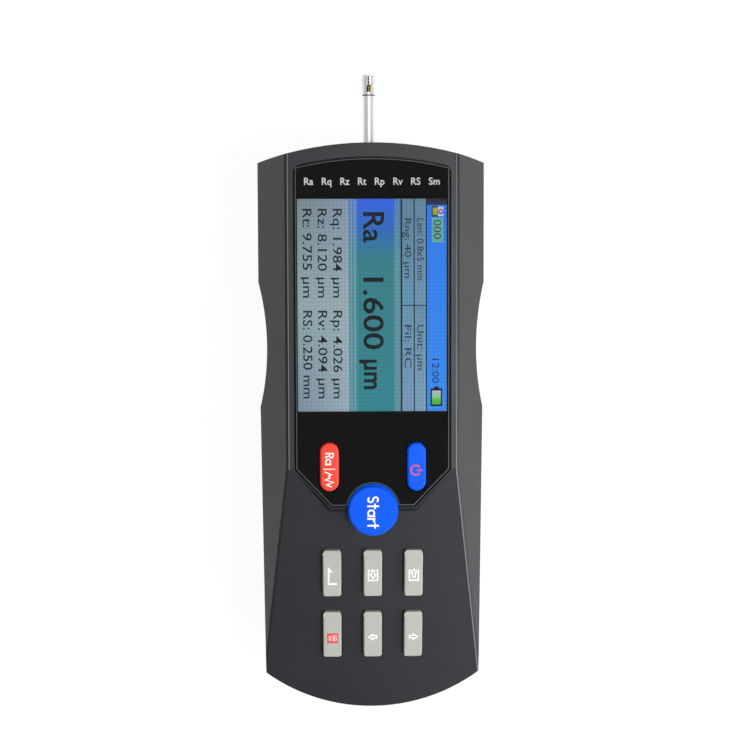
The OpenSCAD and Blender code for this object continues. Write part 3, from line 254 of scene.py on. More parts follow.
def metal(name, code, roughness, line_mm, along=LENGTHWISE, depth_mm=0.002):
    """Bare metal with fine machining lines. The noise is squeezed on the axes that the lines follow.
    Real lines are a few hundredths of a millimetre apart; they are drawn wider so that they show."""
    material, tree = new_material(name)
    place = add(tree, "TexCoord").outputs["Object"]
    stretched = add(tree, "Mapping", {"Vector": place, "Scale": along})
    lines = add(tree, "TexNoise", {
        "Vector": stretched.outputs["Vector"], "Scale": 1 / (line_mm * MM), "Detail": 2.0})
    rough = add(tree, "MapRange", {
        "Value": lines.outputs["Fac"], "To Min": roughness * (1 - LINE_CONTRAST),
        "To Max": roughness * (1 + LINE_CONTRAST)})
    bump = add(tree, "Bump", {
        "Height": lines.outputs["Fac"], "Strength": 0.3, "Distance": depth_mm * MM})
    shader = add(tree, "BsdfPrincipled", {
        "Base Color": linear(code), "Metallic": 1.0, "Roughness": rough.outputs["Result"],
        "Normal": bump.outputs["Normal"]})
    add(tree, "OutputMaterial", {"Surface": shader.outputs["BSDF"]})
    return material


plastics_made = len(FINISHES)
# Turned and polished steel of the pickup: almost white, with one soft bright line along the tube.
FINISHES["pickup_steel"] = metal(
    "steel_turned_polished", "#ffffff", roughness=0.4, line_mm=0.06, along=ROUNDWISE, depth_mm=0.001)
# Zinc-plated steel screws: bright with a cold tint.
FINISHES["screw_steel"] = metal("steel_zinc_plated", "#c3c5c8", roughness=0.3, line_mm=0.2)
# Pressed and plated steel of the charging socket: smooth and bright.
FINISHES["socket_steel"] = metal("steel_pressed_plated", "#c9cbce", roughness=0.25, line_mm=0.2)
# Milled aluminium with a clear finish: pale, with satin tool lines.
FINISHES["channel_aluminium"] = metal("aluminium_milled_clear", "#a8abae", roughness=0.35, line_mm=0.15)
# Milled aluminium in grey: the same lines on a darker ground.
FINISHES["frame_aluminium"] = metal("aluminium_milled_grey", "#8f9398", roughness=0.4, line_mm=0.15)
# Ground steel of rods and screw: the brightest metal, with long sharp streaks.
FINISHES["ground_steel"] = metal("steel_ground_bright", "#d0d2d4", roughness=0.18, line_mm=0.08)
# Turned bronze bearings: warm brown, with rings round the axis.
FINISHES["bearing_bronze"] = metal(
    "bronze_turned", "#c19a55", roughness=0.3, line_mm=0.1, along=ROUNDWISE)
# Pressed brass of the gearbox: a soft yellow.
FINISHES["gearbox_brass"] = metal("brass_pressed", "#c9ab5e", roughness=0.3, line_mm=0.2)
# The drawn can of the motor: grey, with fine lines along the draw.
FINISHES["motor_steel"] = metal("steel_drawn_can", "#b2b5b9", roughness=0.28, line_mm=0.12)
# Gold-plated contact pins: a rich bright yellow.
FINISHES["contact_gold"] = metal("brass_gold_plated", "#e8c25a", roughness=0.2, line_mm=0.1)
# Drawn brass rod of the stylus arm: darker yellow, streaked along its length.
FINISHES["arm_brass"] = metal("brass_drawn_rod", "#b98a3c", roughness=0.3, line_mm=0.08)
print("metal finishes:", len(FINISHES) - plastics_made)

# %% [markdown]
# ## The clear window
# The window is hard-coated acrylic: clear, smooth and only faintly smoked. A half-transparent sheet could
# stand for it, but a solid with the refraction of acrylic also mirrors the room faintly, as the real one
# does. What lies behind it is seen through the lens and not painted on it.

# %% Clear recipe
def clear(name, code, ior, roughness):
    """A clear solid that lets light through and reflects a little at its surface."""
    material, tree = new_material(name)
    shader = add(tree, "BsdfPrincipled", {
        "Base Color": linear(code), "Roughness": roughness, "IOR": ior, "Transmission Weight": 1.0})
    add(tree, "OutputMaterial", {"Surface": shader.outputs["BSDF"]})
    return material


# Cast and hard-coated acrylic: the eye sees only a faint reflection on it and the black behind it.
FINISHES["lens_acrylic"] = clear("acrylic_hard_coated", "#e4e8ea", ior=1.49, roughness=0.0)
print("window finish:", FINISHES["lens_acrylic"].name)

# %% [markdown]
# ## Dressing the CAD nodes
# The record names a slot for every CAD node, and each slot has one finish by now. Finishes could be set
# node by node, but the slots already say which nodes share one. A node keeps its mesh and only gets the
# material of its slot.

# %% Finishes on the nodes
for node, shape in NODES.items():
    shape.data.materials.clear()
    shape.data.materials.append(FINISHES[SLOT_OF[node]])
print("dressed", len(NODES), "nodes in", len(FINISHES), "finishes")

# %% [markdown]
# ## Softened edges
# A moulded edge is never a knife edge. A Bevel node in the material could shade a round edge, but it would
# leave the outline sharp, so the round is real. The shells carry their bevels in the CAD. The keys and the
# start button get a copy, whose CAD triangles are welded first so that a Bevel modifier can round the
# edges. Only sharp edges that point outwards are marked for it. The copy stands for the CAD node, which
# stays as it is for the motion.

# %% Softened copies of the keys and the start button
SHARP = 22         # degrees: a sharper turn than this is an edge
ROUND_STEPS = 3
START_RIM_MM = 1.7   # the upper part of the start button, where its edges are rounded


def add_piece(data, material, body, stands_for=None):
    """Show a mesh as a piece of the object, with its material and riding on a CAD body. Where it takes
    the place of a CAD node, that node is hidden."""
    data.materials.append(material)
    shape = bpy.data.objects.new(data.name, data)
    bpy.context.scene.collection.objects.link(shape)
    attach(shape, body)
    if stands_for:
        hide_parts(stands_for)
    print("made", data.name, "with", len(data.polygons), "faces")
    return shape


def softened(node, width_mm, above_mm=0.0):
    """A welded copy of a CAD node. Edges that turn outwards by more than SHARP degrees, and whose middle
    lies above a height, are rounded over a width."""
    mesh = bmesh.new()
    mesh.from_mesh(NODES[node].data)
    bmesh.ops.remove_doubles(mesh, verts=mesh.verts, dist=TOUCH)
    weight = mesh.edges.layers.float.new("bevel_weight_edge")
    for edge in mesh.edges:
        turn = math.degrees(edge.calc_face_angle_signed(0.0))
        edge.smooth = abs(turn) < SHARP
        height = (edge.verts[0].co.z + edge.verts[1].co.z) / 2
        edge[weight] = float(turn > SHARP and height > above_mm * MM)
    for face in mesh.faces:
        face.smooth = True
    data = bpy.data.meshes.new(node + "_soft")
    mesh.to_mesh(data)
    mesh.free()
    shape = add_piece(data, FINISHES[SLOT_OF[node]], BODY_OF[node], stands_for=node)
    bevel = shape.modifiers.new("rounded edges", "BEVEL")
    bevel.width = width_mm * MM
    bevel.segments = ROUND_STEPS
    bevel.limit_method = "WEIGHT"
    bevel.harden_normals = True


KEYS = ["enter_key", "save_key", "recall_key", "print_key", "left_key", "right_key"]
for key in KEYS:
    softened(key, width_mm=0.18)
start_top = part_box("start_button")[1].z
softened("start_button", width_mm=0.2, above_mm=start_top / MM - START_RIM_MM)

# %% [markdown]
# ## Painted highlights on the creases
# The long creases between the face and the sides catch the light as a fine pale line. That highlight is
# painted: a ribbon of pale grey lies on each crease. The line could be a mask in the case's material, but a
# ribbon of a third of a millimetre stays sharp from every side. It lies on the crease's own bevel, along
# the edge where the face ends. That edge is found in the CAD mesh: one of its triangles looks up, and the
# other leans half way to the side.

# %% What lies behind each side of a triangle
TINY = 1e-12


def neighbours(node):
    """A node's triangles with shared corners. Returns the points in metres, the numbers of the first and
    the second end of each side, the normals, and the triangle behind each side, which is the one that
    has the same side backwards."""
    corners, normals = triangles(node)
    points, numbers = np.unique(corners.reshape(-1, 3).round(6), axis=0, return_inverse=True)
    first = numbers.reshape(-1, 3)
    second = np.roll(first, -1, axis=1)
    forwards = (first * len(points) + second).ravel()
    backwards = (second * len(points) + first).ravel()
    order = np.argsort(forwards)
    found = order[np.searchsorted(forwards, backwards, sorter=order) % len(order)]
    own = np.arange(len(forwards))
    behind = np.where(forwards[found] == backwards, found, own).reshape(-1, 3) // 3
    return points, first, second, normals, behind


def mean_normals(count, corners, normals):
    """For each of a number of points, the mean direction of the faces that meet there: the normals are
    added up at the faces' corners and brought to length 1."""
    total = np.zeros((count, 3))
    np.add.at(total, corners, normals[:, None, :])
    return total / np.maximum(np.linalg.norm(total, axis=1, keepdims=True), TINY)


def new_mesh(name, points, faces, smooth=False):
    """A mesh from an array of points in metres and a list of faces."""
    data = bpy.data.meshes.new(name)
    data.from_pydata(np.reshape(points, (-1, 3)).tolist(), [], faces)
    data.polygons.foreach_set("use_smooth", np.full(len(faces), smooth))
    return data


shell_points = len(neighbours("front_shell")[0])
print("the front shell has", shell_points, "points once its corners are shared")

# %% Ribbons along the creases
# Painted highlight along the right crease: a paler grey with a low gloss, for the light the crease catches.
CREASE_HIGHLIGHT = plastic("painted_highlight_crease", "#66686e", roughness=0.34, grain_mm=0.6, depth_mm=0.004)
# Painted highlight along the left crease: paler still, so its line is the brightest on the case.
PALE_CREASE_HIGHLIGHT = plastic("painted_highlight_crease_pale", "#8b8d91", roughness=0.34, grain_mm=0.6, depth_mm=0.004)
LEAN_LEAST = 0.45    # sideways part of the normal of the crease's bevel, at least and at most
LEAN_MOST = 0.57
LEVEL_LEAN = 0.05    # the same for the face beside it, at most
LOOKS_UP = 0.8       # upward part of the normal of both, at least
RIBBON_LIFT = 0.012 * MM


def crease_ribbon(node, side, width_mm, low_mm, name, material):
    """A strip between two lines: the crease itself and the same line moved down its bevel by the width.
    The move is the cross product of the bevel's normal and the line's direction. The strip ends where Y
    falls below low_mm."""
    points, first, second, normals, behind = neighbours(node)
    lean = normals[:, 0] * side
    up = normals[:, 2] > LOOKS_UP
    bevel = up & (lean > LEAN_LEAST) & (lean < LEAN_MOST)
    level = up & (np.abs(lean) < LEVEL_LEAN)
    lowest = np.minimum(points[first, 1], points[second, 1])
    crease = bevel[:, None] & level[behind] & (lowest > low_mm * MM)
    ends = np.stack([first[crease], second[crease]], 1)
    out = mean_normals(len(points), ends, normals[np.nonzero(crease)[0]])
    order = np.unique(ends)
    order = order[np.argsort(-points[order, 1])]
    down = np.cross(out[order], np.gradient(points[order], axis=0)) * -side
    down = down / np.linalg.norm(down, axis=1, keepdims=True)
    upper = points[order] + out[order] * RIBBON_LIFT
    lower = upper + down * width_mm * MM
    count = len(order)
    i = np.arange(count - 1)
    faces = np.stack([i, count + i, count + i + 1, i + 1], 1)[:, ::side]
    data = new_mesh(name, np.vstack([upper, lower]), faces.tolist())
    add_piece(data, material, BODY_OF[node])


# Each ribbon is a painted highlight along a crease.
crease_ribbon("front_shell", side=1, width_mm=0.34, low_mm=-80, name="crease_right", material=CREASE_HIGHLIGHT)
crease_ribbon("front_shell", side=-1, width_mm=0.3, low_mm=-12, name="crease_left", material=PALE_CREASE_HIGHLIGHT)

# %% [markdown]
# ## Flat prints
# Words and signs are printed on the finished parts. They could be a texture, but a thin flat mesh a few
# hundredths of a millimetre above its face has sharp edges at any distance. A point of a print has two
# numbers: how far it lies along the line of reading and how far up the letters. The tester is read with
# its pickup to the left, so the line of reading runs down the case and letters point to its right side.

# %% Letters of even stroke
def bow(x, y, radius, first_deg, last_deg, steps=14):
    """Points on an arc: the centre plus the radius times the cosine and the sine of each angle."""
    angle = np.radians(np.linspace(first_deg, last_deg, steps))
    return np.stack([x + radius * np.cos(angle), y + radius * np.sin(angle)], 1).tolist()


# Each letter has its width and its lines, in parts of the height of a capital.
LETTERS = {
    "S": (0.5, [bow(0.24, 0.71, 0.21, 30, 262) + bow(0.24, 0.29, 0.21, 82, -150)]),
    "t": (0.34, [[(0.15, 1.0), (0.15, 0)], [(-0.08, 0.66), (0.4, 0.66)]]),
    "a": (0.54, [bow(0.26, 0.34, 0.26, 0, 360, 24), [(0.52, 0.68), (0.52, 0)]]),
    "r": (0.34, [[(0.06, 0.68), (0.06, 0)], bow(0.30, 0.36, 0.24, 180, 75, 10)]),
    "R": (0.52, [[(0.08, 1.0), (0.08, 0)],
                 [(0.08, 0.93), (0.28, 0.93)] + bow(0.28, 0.71, 0.22, 84, -84)
                 + [(0.28, 0.49), (0.08, 0.49)],
                 [(0.27, 0.49), (0.52, 0)]]),
}
LETTER_GAP = 0.15
print("letters drawn by hand:", " ".join(LETTERS))

# %% Flat meshes from strips, boxes and letters
CROSSING_MM = 0.003   # each line lies this much above the one before, so that lines may cross
SHARPEST = 0.3        # limits how far the corner of a line reaches out
CAPITAL = 0.73        # height of a capital in the built-in font, as a part of its size


class Print:
    """Collects flat shapes in a plane and turns them into one mesh with a colour for each point."""

    def __init__(self, origin, along, up, lift_mm=0.02):
        self.along = along
        self.up = up
        self.origin = np.array(origin, float)
        self.points, self.paints, self.faces = [], [], []
        self.count = 0
        self.lift(lift_mm)

    def lift(self, height_mm):
        """Raise what comes next, along the cross product of the two directions."""
        self.origin = self.origin + np.cross(self.along, self.up) * height_mm * MM

    def shape(self, flat, faces, code, code_end=None):
        """Add flat points in millimetres and their faces. The colour may change along the line: each
        point takes the share between two colours that its place has between the first and the last."""
        flat = np.array(flat, float)
        share = flat[:, :1] - flat[:, 0].min()
        share = share / max(share.max(), TINY)
        first = np.array(linear(code))
        last = np.array(linear(code_end or code))
        self.points.append(self.origin + (flat[:, :1] * self.along + flat[:, 1:] * self.up) * MM)
        self.paints.append(first + (last - first) * share)
        self.faces += [(np.array(face) + self.count).tolist() for face in faces]
        self.count += len(flat)

    def box(self, a0, a1, b0, b1, code, code_end=None):
        """A rectangle, from a0 to a1 along the line and from b0 to b1 up the letters."""
        self.shape([(a0, b0), (a1, b0), (a1, b1), (a0, b1)], [[0, 1, 2, 3]], code, code_end)

    def run(self, stops, b0, b1):
        """A row of rectangles whose colour runs from stop to stop; a stop is a place and a colour."""
        for (a0, code), (a1, code_end) in zip(stops, stops[1:]):
            self.box(a0, a1, b0, b1, code, code_end)

    def strip(self, flat, sides, width, code):
        """A line of even width along sides, which are pairs of point numbers. Each point moves both ways
        by half the width times the sum of the normals of its two sides, over half the square of that
        sum, which keeps the width round a corner. An end has one side, which counts twice."""
        first, second = np.array(sides).T
        side = flat[second] - flat[first]
        side = side / np.maximum(np.linalg.norm(side, axis=1, keepdims=True), TINY)
        normal = np.stack([-side[:, 1], side[:, 0]], 1)
        total = np.zeros_like(flat)
        np.add.at(total, first, normal)
        np.add.at(total, second, normal)
        total = total * (2 / np.bincount(np.ravel(sides)))[:, None]
        move = total / np.maximum((total ** 2).sum(1, keepdims=True) / 2, SHARPEST) * width / 2
        count = len(flat)
        faces = np.stack([first, count + first, count + second, second], 1)
        self.shape(np.vstack([flat + move, flat - move]), faces, code)
        self.lift(CROSSING_MM)

    def stroke(self, path, width, code, closed=False):
        """A line of even width through the points of a path."""
        flat = np.array(path, float)
        first = np.arange(len(flat) if closed else len(flat) - 1)
        self.strip(flat, np.stack([first, (first + 1) % len(flat)], 1), width, code)

    def drawn(self, text, a0, b0, height, width, code, stretch=1.0):
        """Letters of even stroke from LETTERS, set one after the other."""
        for letter in text:
            letter_width, lines = LETTERS[letter]
            for line in lines:
                self.stroke(np.array(line) * [height * stretch, height] + [a0, b0], width, code)
            a0 += (letter_width + LETTER_GAP) * height * stretch

    def words(self, text, a0, b0, height, length, code, middle=False, bold=0.0):
        """Letters of the built-in font, made a mesh first and then sized by their height and length."""
        curve = bpy.data.curves.new("letters", "FONT")
        curve.body = text
        curve.resolution_u = 3
        curve.offset = bold
        holder = bpy.data.objects.new("letters", curve)
        bpy.context.scene.collection.objects.link(holder)
        bpy.context.view_layer.update()
        graph = bpy.context.evaluated_depsgraph_get()
        mesh = bpy.data.meshes.new_from_object(holder.evaluated_get(graph))
        flat = np.empty((len(mesh.vertices), 3), np.float32)
        mesh.vertices.foreach_get("co", flat.ravel())
        faces = [list(face.vertices) for face in mesh.polygons]
        bpy.data.objects.remove(holder)
        bpy.data.curves.remove(curve)
        bpy.data.meshes.remove(mesh)
        flat = flat[:, :2] - [flat[:, 0].min(), 0]
        flat = flat * [length / flat[:, 0].max(), height / CAPITAL]
        self.shape(flat + [a0 - length / 2 if middle else a0, b0], faces, code)

    def make(self, name, material, body, slot):
        """One piece that rides on a CAD body, with its colours in the attribute called paint."""
        data = new_mesh(name, np.vstack(self.points), self.faces)
        paint = data.attributes.new("paint", "FLOAT_COLOR", "POINT")
        paint.data.foreach_set("color", np.vstack(self.paints).astype(np.float32).ravel())
        add_piece(data, material, body)


print("lines that cross lie", CROSSING_MM, "mm apart")

# %% [markdown]
# ## Ink and light
# Two things give a print its colour. Ink reflects light in the colour that is stored on the mesh. The
# display makes its own light. The print behind the window shines too, but that is painted light, in place
# of the lamps' light that the lens keeps from it. Both are emissions in the stored colour. Each colour
# could have its own material, but with the colours on the mesh one material serves all prints of a kind.

# %% Ink and lit recipes
WAVE_RADIANS = 20    # how far a wave texture of scale 1 turns in one unit of length
GRID_DARK = 0.93     # strength of the light between the picture elements and on them
GRID_BRIGHT = 1.05


def ink(name, roughness):
    """Screen-printed ink in the colour stored on its mesh."""
    material, tree = new_material(name)
    paint = add(tree, "Attribute", attribute_name="paint")
    shader = add(tree, "BsdfPrincipled", {
        "Base Color": paint.outputs["Color"], "Roughness": roughness})
    add(tree, "OutputMaterial", {"Surface": shader.outputs["BSDF"]})
    return material


def lit(name, strength, pitch_mm=0.0):
    """A surface that shines in the colour stored on its mesh, with a faint grid if a pitch is given. Real
    picture elements are a seventh of a millimetre apart, too fine to show, so they are drawn coarser."""
    material, tree = new_material(name)
    paint = add(tree, "Attribute", attribute_name="paint")
    power = strength
    for axis in "XY" if pitch_mm else "":
        wave = add(tree, "TexWave", {
            "Vector": add(tree, "TexCoord").outputs["Object"],
            "Scale": 2 * math.pi / (WAVE_RADIANS * pitch_mm * MM)}, bands_direction=axis)
        part = add(tree, "MapRange", {
            "Value": wave.outputs["Fac"], "To Min": GRID_DARK, "To Max": GRID_BRIGHT})
        product = add(tree, "Math", {0: part.outputs["Result"], 1: power}, operation="MULTIPLY")
        power = product.outputs["Value"]
    shader = add(tree, "BsdfPrincipled", {
        "Base Color": linear("#050505"), "Roughness": 0.4, "Specular IOR Level": 0.05,
        "Emission Color": paint.outputs["Color"], "Emission Strength": power})
    add(tree, "OutputMaterial", {"Surface": shader.outputs["BSDF"]})
    return material


# Screen-printed ink: flat, even colour with a soft gloss.
INK = ink("ink_screen_printed", roughness=0.45)
# A lit panel: clear colours that don't change with the lamps, in a faint grid.
GLOW = lit("display_pixels_lit", strength=1.1, pitch_mm=1.05)
# White ink that glows with painted light, since the lens keeps the lamps' light from it: an even white.
PAINTED_GLOW_INK = lit("ink_white_painted_glow", strength=0.8)
print("print finishes:", INK.name, GLOW.name, PAINTED_GLOW_INK.name)

# %% [markdown]
# ## The picture on the display
# The display shows a reading in landscape. A picture file could be put on the panel, but flat fields of
# colour stay sharp and need no file: rows of parameters, a wide band with the main reading, two rows of
# settings and a status bar. Such a panel is never even, so each field's colour drifts along the line of
# reading. The figures are a second print a little above.

# %% Fields of the picture
def blend(first, last, share):
    """The screen colour that lies at a share of the way between two hex colours."""
    pair = [[int(code[i:i + 2], 16) for i in (1, 3, 5)] for code in (first, last)]
    return "#%02x%02x%02x" % tuple(round(a + (b - a) * share) for a, b in zip(*pair))


READ = -FLAT_UP
RISE = ACROSS
screen_low, screen_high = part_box("display_panel")
SCREEN = (0, (screen_low.y + screen_high.y) / 2, screen_high.z)
HALF = (screen_high.y - screen_low.y) / MM / 2 - 3.0    # the picture ends 3 mm before the panel does
WIDE = (screen_high.x - screen_low.x) / MM / 2 - 1.5
# Heights and places in the picture, in millimetres from its middle.
LIST_TOP = -6.3
BAND_LOW = -4.0
BAND_TOP = 5.9
RULE_TOP = 7.8
STATUS_LOW = 14.95
STATUS_START = -27.2
STRIPS = 10    # steps in which the list of parameters changes its colour upwards
RULES = 5      # thin lines under the band, and over it

picture = Print(SCREEN, READ, RISE, 0.03)
picture.box(-HALF, HALF, -WIDE, WIDE, "#0c1115")
picture.lift(0.02)
heights = np.linspace(-WIDE, LIST_TOP, STRIPS + 1)
for low, high, share in zip(heights, heights[1:], np.linspace(0, 1, STRIPS)):
    stops = [(-HALF, blend("#7f9296", "#8d9db4", share)), (0, blend("#9bb2b6", "#a3b6bd", share)),
             (HALF, blend("#8598a8", "#a2b6c2", share))]
    picture.run(stops, low, high)
for low, high, codes in ((LIST_TOP, BAND_LOW, ("#5b7fd2", "#52949f", "#5595a5")),
                         (BAND_TOP, RULE_TOP, ("#4a75c0", "#4f919d", "#5a919f"))):
    heights = np.linspace(low, high, RULES + 1)
    for i in range(RULES):
        pale = [blend(code, "#c4d2d8", 0.28 * (i % 2)) for code in codes]
        picture.run(list(zip((-HALF, -12, HALF), pale)), heights[i], heights[i + 1])
band = [(-HALF, "#3668f0"), (-21, "#2f70c8"), (-13, "#37868f"), (HALF, "#318d97")]
picture.run(band, BAND_LOW, BAND_TOP)
for low, high, codes in ((8.2, 11.3, ("#68899f", "#669ebd", "#6c9db9", "#7fa2c3")),
                         (11.6, 14.65, ("#668caa", "#769ab9", "#6b98b3", "#84a7c2"))):
    picture.run([(-HALF, codes[0]), (-0.12, codes[1])], low, high)
    picture.run([(0.12, codes[2]), (HALF, codes[3])], low, high)
picture.run([(-HALF, "#15182c"), (STATUS_START, "#2a2e58")], STATUS_LOW, WIDE)
picture.run([(STATUS_START, "#2a80fa"), (HALF, "#3a95ff")], STATUS_LOW, WIDE)
picture.make("display_fields", GLOW, "case", "display")

# %% Figures and letters of the picture
DARK = "#0a0f14"
NAVY = "#123a86"
SLATE = "#1d2c36"
figures = Print(SCREEN, READ, RISE, 0.08)
figures.words("Ra", -25.3, -2.3, 5.9, 8.2, DARK, bold=0.012)
figures.words("1.600", -7.6, -2.3, 5.7, 19.6, DARK, bold=0.012)
figures.words("µm", 14.75, -2.2, 5.3, 8.1, DARK, bold=0.02)
for text, start, length, base in (("Len: 0.8x5 mm", -23.6, 16.8, 12.25),
                                  ("Rng: 40 µm", -23.6, 16.1, 8.85),
                                  ("Unit: µm", 5.4, 12.2, 12.25),
                                  ("Fil: RC", 5.4, 11.6, 8.85)):
    figures.words(text, start, base, 1.95, length, SLATE)
for base, left, right in ((-10.6, "Rq: 1.984 µm", "Rp: 4.026 µm"),
                          (-14.7, "Rz: 8.120 µm", "Rv: 4.094 µm"),
                          (-18.8, "Rt: 9.755 µm", "RS: 0.250 mm")):
    figures.words(left, -26.2, base, 2.6, 24.0, DARK, bold=0.004)
    figures.words(right, 1.4, base, 2.6, 23.9, DARK, bold=0.004)
figures.words("12:00", 14.6, 16.3, 2.1, 6.6, NAVY)
print("figures so far:", len(figures.faces), "faces")

# %% Signs of the status bar
# A battery with its charge, a memory counter, and a small lamp on a socket.
figures.box(22.7, 27.6, 15.9, 19.1, DARK)
figures.box(22.2, 22.7, 16.9, 18.1, DARK)
figures.box(-23.8, -17.1, 16.3, 19.4, "#6fb3a2")
figures.box(-26.9, -24.1, 16.2, 18.1, "#2c2f16")
figures.lift(0.02)
figures.box(23.3, 25.4, 16.3, 18.7, "#b9ccd6", "#8fd08a")
figures.box(25.4, 27.1, 16.3, 18.7, "#62cf4c", "#4fb83c")
figures.words("000", -23.2, 16.8, 2.1, 5.2, "#1e4a33")
figures.box(-26.5, -24.5, 16.5, 17.8, "#b9b54a", "#9c9a3c")
figures.box(-26.7, -24.2, 17.9, 19.4, "#cdd8ea")
figures.lift(0.01)
figures.stroke(bow(-25.4, 18.7, 0.55, 90, 270, 12), 0.4, "#d0453c")
figures.stroke(bow(-25.4, 18.7, 0.55, -90, 90, 12), 0.4, "#2f55d8")
figures.make("display_figures", GLOW, "case", "display")

# %% [markdown]
# ## Prints on the buttons
# The start button carries its function word, the left pill a roughness symbol with a trace, the right
# pill the usual power sign. Each key carries a small sign in white or red ink. The built-in font could
# set the words, but its strokes are thinner and less even, so the letters are drawn as lines. All are pad
# prints on flat tops, so each lies in the plane of its button's top and moves with the button.

# %% Start button
start_print = Print(top_centre("start_button", FLAT_OUT), READ, RISE)
start_print.drawn("Start", -3.8, -1.6, height=3.2, width=0.46, code="#f6f7fb")
start_print.make("start_word", INK, "start", "start_blue")

# %% Pill buttons
WHITE_ON_RED = "#fff4f2"
TRACE = [(1.3, -1.25), (2.05, 0.5), (2.5, -0.2), (3.0, 0.15),
         (3.5, -1.1), (4.15, 1.1), (4.8, -0.75), (5.4, 0.65)]
mode_print = Print(top_centre("mode_button", FLAT_OUT), READ, RISE)
mode_print.drawn("Ra", -3.95, -1.15, height=2.4, width=0.36, code=WHITE_ON_RED, stretch=1.13)
mode_print.stroke([(0.56, -1.6), (0.56, 1.6)], 0.32, "#ffd9d2")
mode_print.stroke(TRACE, 0.34, WHITE_ON_RED)
mode_print.make("mode_mark", INK, "mode", "mode_red")

PINK = "#c8457a"
power_print = Print(top_centre("power_button", FLAT_OUT), READ, RISE)
power_print.stroke(bow(0.95, -0.2, 1.3, 128, 412, 24), 0.5, PINK)
power_print.stroke([(0.95, 0.1), (0.95, 1.6)], 0.5, PINK)
power_print.make("power_mark", INK, "power", "power_blue")

# %% Signs on the keys
SIGN = "#fdfdfb"
SIGNS = {key: Print(top_centre(key, SLOPE_OUT), ACROSS, SLOPE_UP) for key in KEYS}

# Enter: a bent arrow as a filled form. Its points go round clockwise, so its faces list them backwards
# to look out of the key.
BENT = [(-1.15, 2.9), (0.25, 1.25), (-0.7, 1.25), (-0.7, -2.0), (1.3, -2.0), (1.55, -2.5), (-1.15, -2.5)]
SIGNS["enter_key"].shape(BENT, [[6, 3, 2, 1, 0], [6, 5, 4, 3]], SIGN)

# Save and recall: a tray with an arrow into it or out of it.
TRAY = [(-0.7, 1.7), (-1.2, 1.7), (-1.2, -1.25), (1.3, -1.25), (1.3, 1.7), (0.8, 1.7)]
UPWARDS = [(0.05, 1.4), (0.85, 0.2), (0.4, 0.2), (0.4, -1.1), (-0.3, -1.1), (-0.3, 0.2), (-0.75, 0.2)]
for key, turn in (("save_key", -1), ("recall_key", 1)):
    SIGNS[key].stroke(TRAY, 0.38, SIGN)
    SIGNS[key].stroke(np.array(UPWARDS) * [1, turn] + [0, 0.7], 0.3, SIGN, closed=True)

# Print: a red sheet with a pale column, a bent line and a small frame.
SIGNS["print_key"].box(-1.5, 1.6, -1.75, 1.25, "#dd4a4c")
SIGNS["print_key"].lift(0.01)
SIGNS["print_key"].box(-1.05, -0.25, -1.05, 0.55, "#f0a9a4")
SIGNS["print_key"].stroke([(1.25, 0.5), (0.25, 0.5), (0.25, -1.2)], 0.3, "#f6c9c5")
FORM = [(1.15, -0.15), (0.6, -0.15), (0.6, -0.95), (1.15, -0.95)]
SIGNS["print_key"].stroke(FORM, 0.26, "#f6c9c5", closed=True)

# Left and right: an outlined arrow.
ARROW = [(1.2, 0), (0, 0.82), (0, 0.36), (-1.1, 0.36), (-1.1, -0.36), (0, -0.36), (0, -0.82)]
for key, turn in (("left_key", -1), ("right_key", 1)):
    SIGNS[key].stroke(np.array(ARROW) * [turn, 1] + [0.05, 0.05], 0.34, SIGN, closed=True)

for key, sign in SIGNS.items():
    sign.make(key.replace("_key", "_sign"), INK, BODY_OF[key], "key_grey")

# %% [markdown]
# ## Letters behind the window
# Parameter symbols are printed behind the lens above the picture. The lens keeps direct light from them,
# and plain ink would look grey there, so they glow: their light is painted, in place of the lamps' light.

# %% Window print
SYMBOLS = "Ra   Rq   Rz   Rt   Rp   Rv   RS   Sm"
mask_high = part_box("lens_mask")[1]
window_print = Print((0, mask_high.y, mask_high.z), ACROSS, FLAT_UP, 0.03)
window_print.words(SYMBOLS, 0, -7.3, 2.0, 36.6, "#f2f4f6", middle=True, bold=0.012)
window_print.make("window_letters", PAINTED_GLOW_INK, "case", "mask_print")

# %% [markdown]
# ## Painted highlight round the window
# The edge of the acrylic catches the light as a fine pale line round the window. That highlight is painted,
# as a grey strip. Its points could be typed in, but they are taken from the CAD mesh: the line follows the
# outline of the lens's top face. The bevel outside it is painted black, as on a real display window, so
# that no light of the display leaves through the edge.

# %% Line round the window
LEVEL = 0.999          # upward part of the normal of a level face, at least
HOLE_GAP = 1.0 * MM    # room that the hole for a button may take round it


def top_outline(node, buttons):
    """The outline of a node's level top, as flat points in millimetres and pairs of point numbers. A side
    is on the outline when the triangle behind it isn't level. Sides round the buttons are left out."""
    points, first, second, normals, behind = neighbours(node)
    level = normals[:, 2] > LEVEL
    rim = level[:, None] & ~level[behind]
    sides = np.stack([first[rim], second[rim]], 1)
    for button in buttons:
        low, high = (np.array(corner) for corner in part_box(button))
        within = (points > low - HOLE_GAP) & (points < high + HOLE_GAP)
        sides = sides[~within[:, :2].all(1)[sides[:, 0]]]
    used, numbers = np.unique(sides, return_inverse=True)
    return points[used, :2] / MM, numbers.reshape(-1, 2)


# A grey strip round the window: the painted highlight of the acrylic's edge.
edge_print = Print((0, 0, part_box("window_lens")[1].z), ACROSS, FLAT_UP, 0.01)
edge_print.strip(*top_outline("window_lens", ("mode_button", "power_button")), 0.2, "#45474a")
edge_print.make("window_edge", INK, "case", "lens_acrylic")

# %% Black paint on the bevel of the window
# Brushed black lacquer: smooth and dark, so the window ends in a clean black rim.
LACQUER = plastic("lacquer_black_brushed", "#131416", roughness=0.35, grain_mm=0.2, depth_mm=0.002)
BEVEL_LEAST = 0.6    # upward part of the normal of the bevel, at least and at most
BEVEL_MOST = 0.8


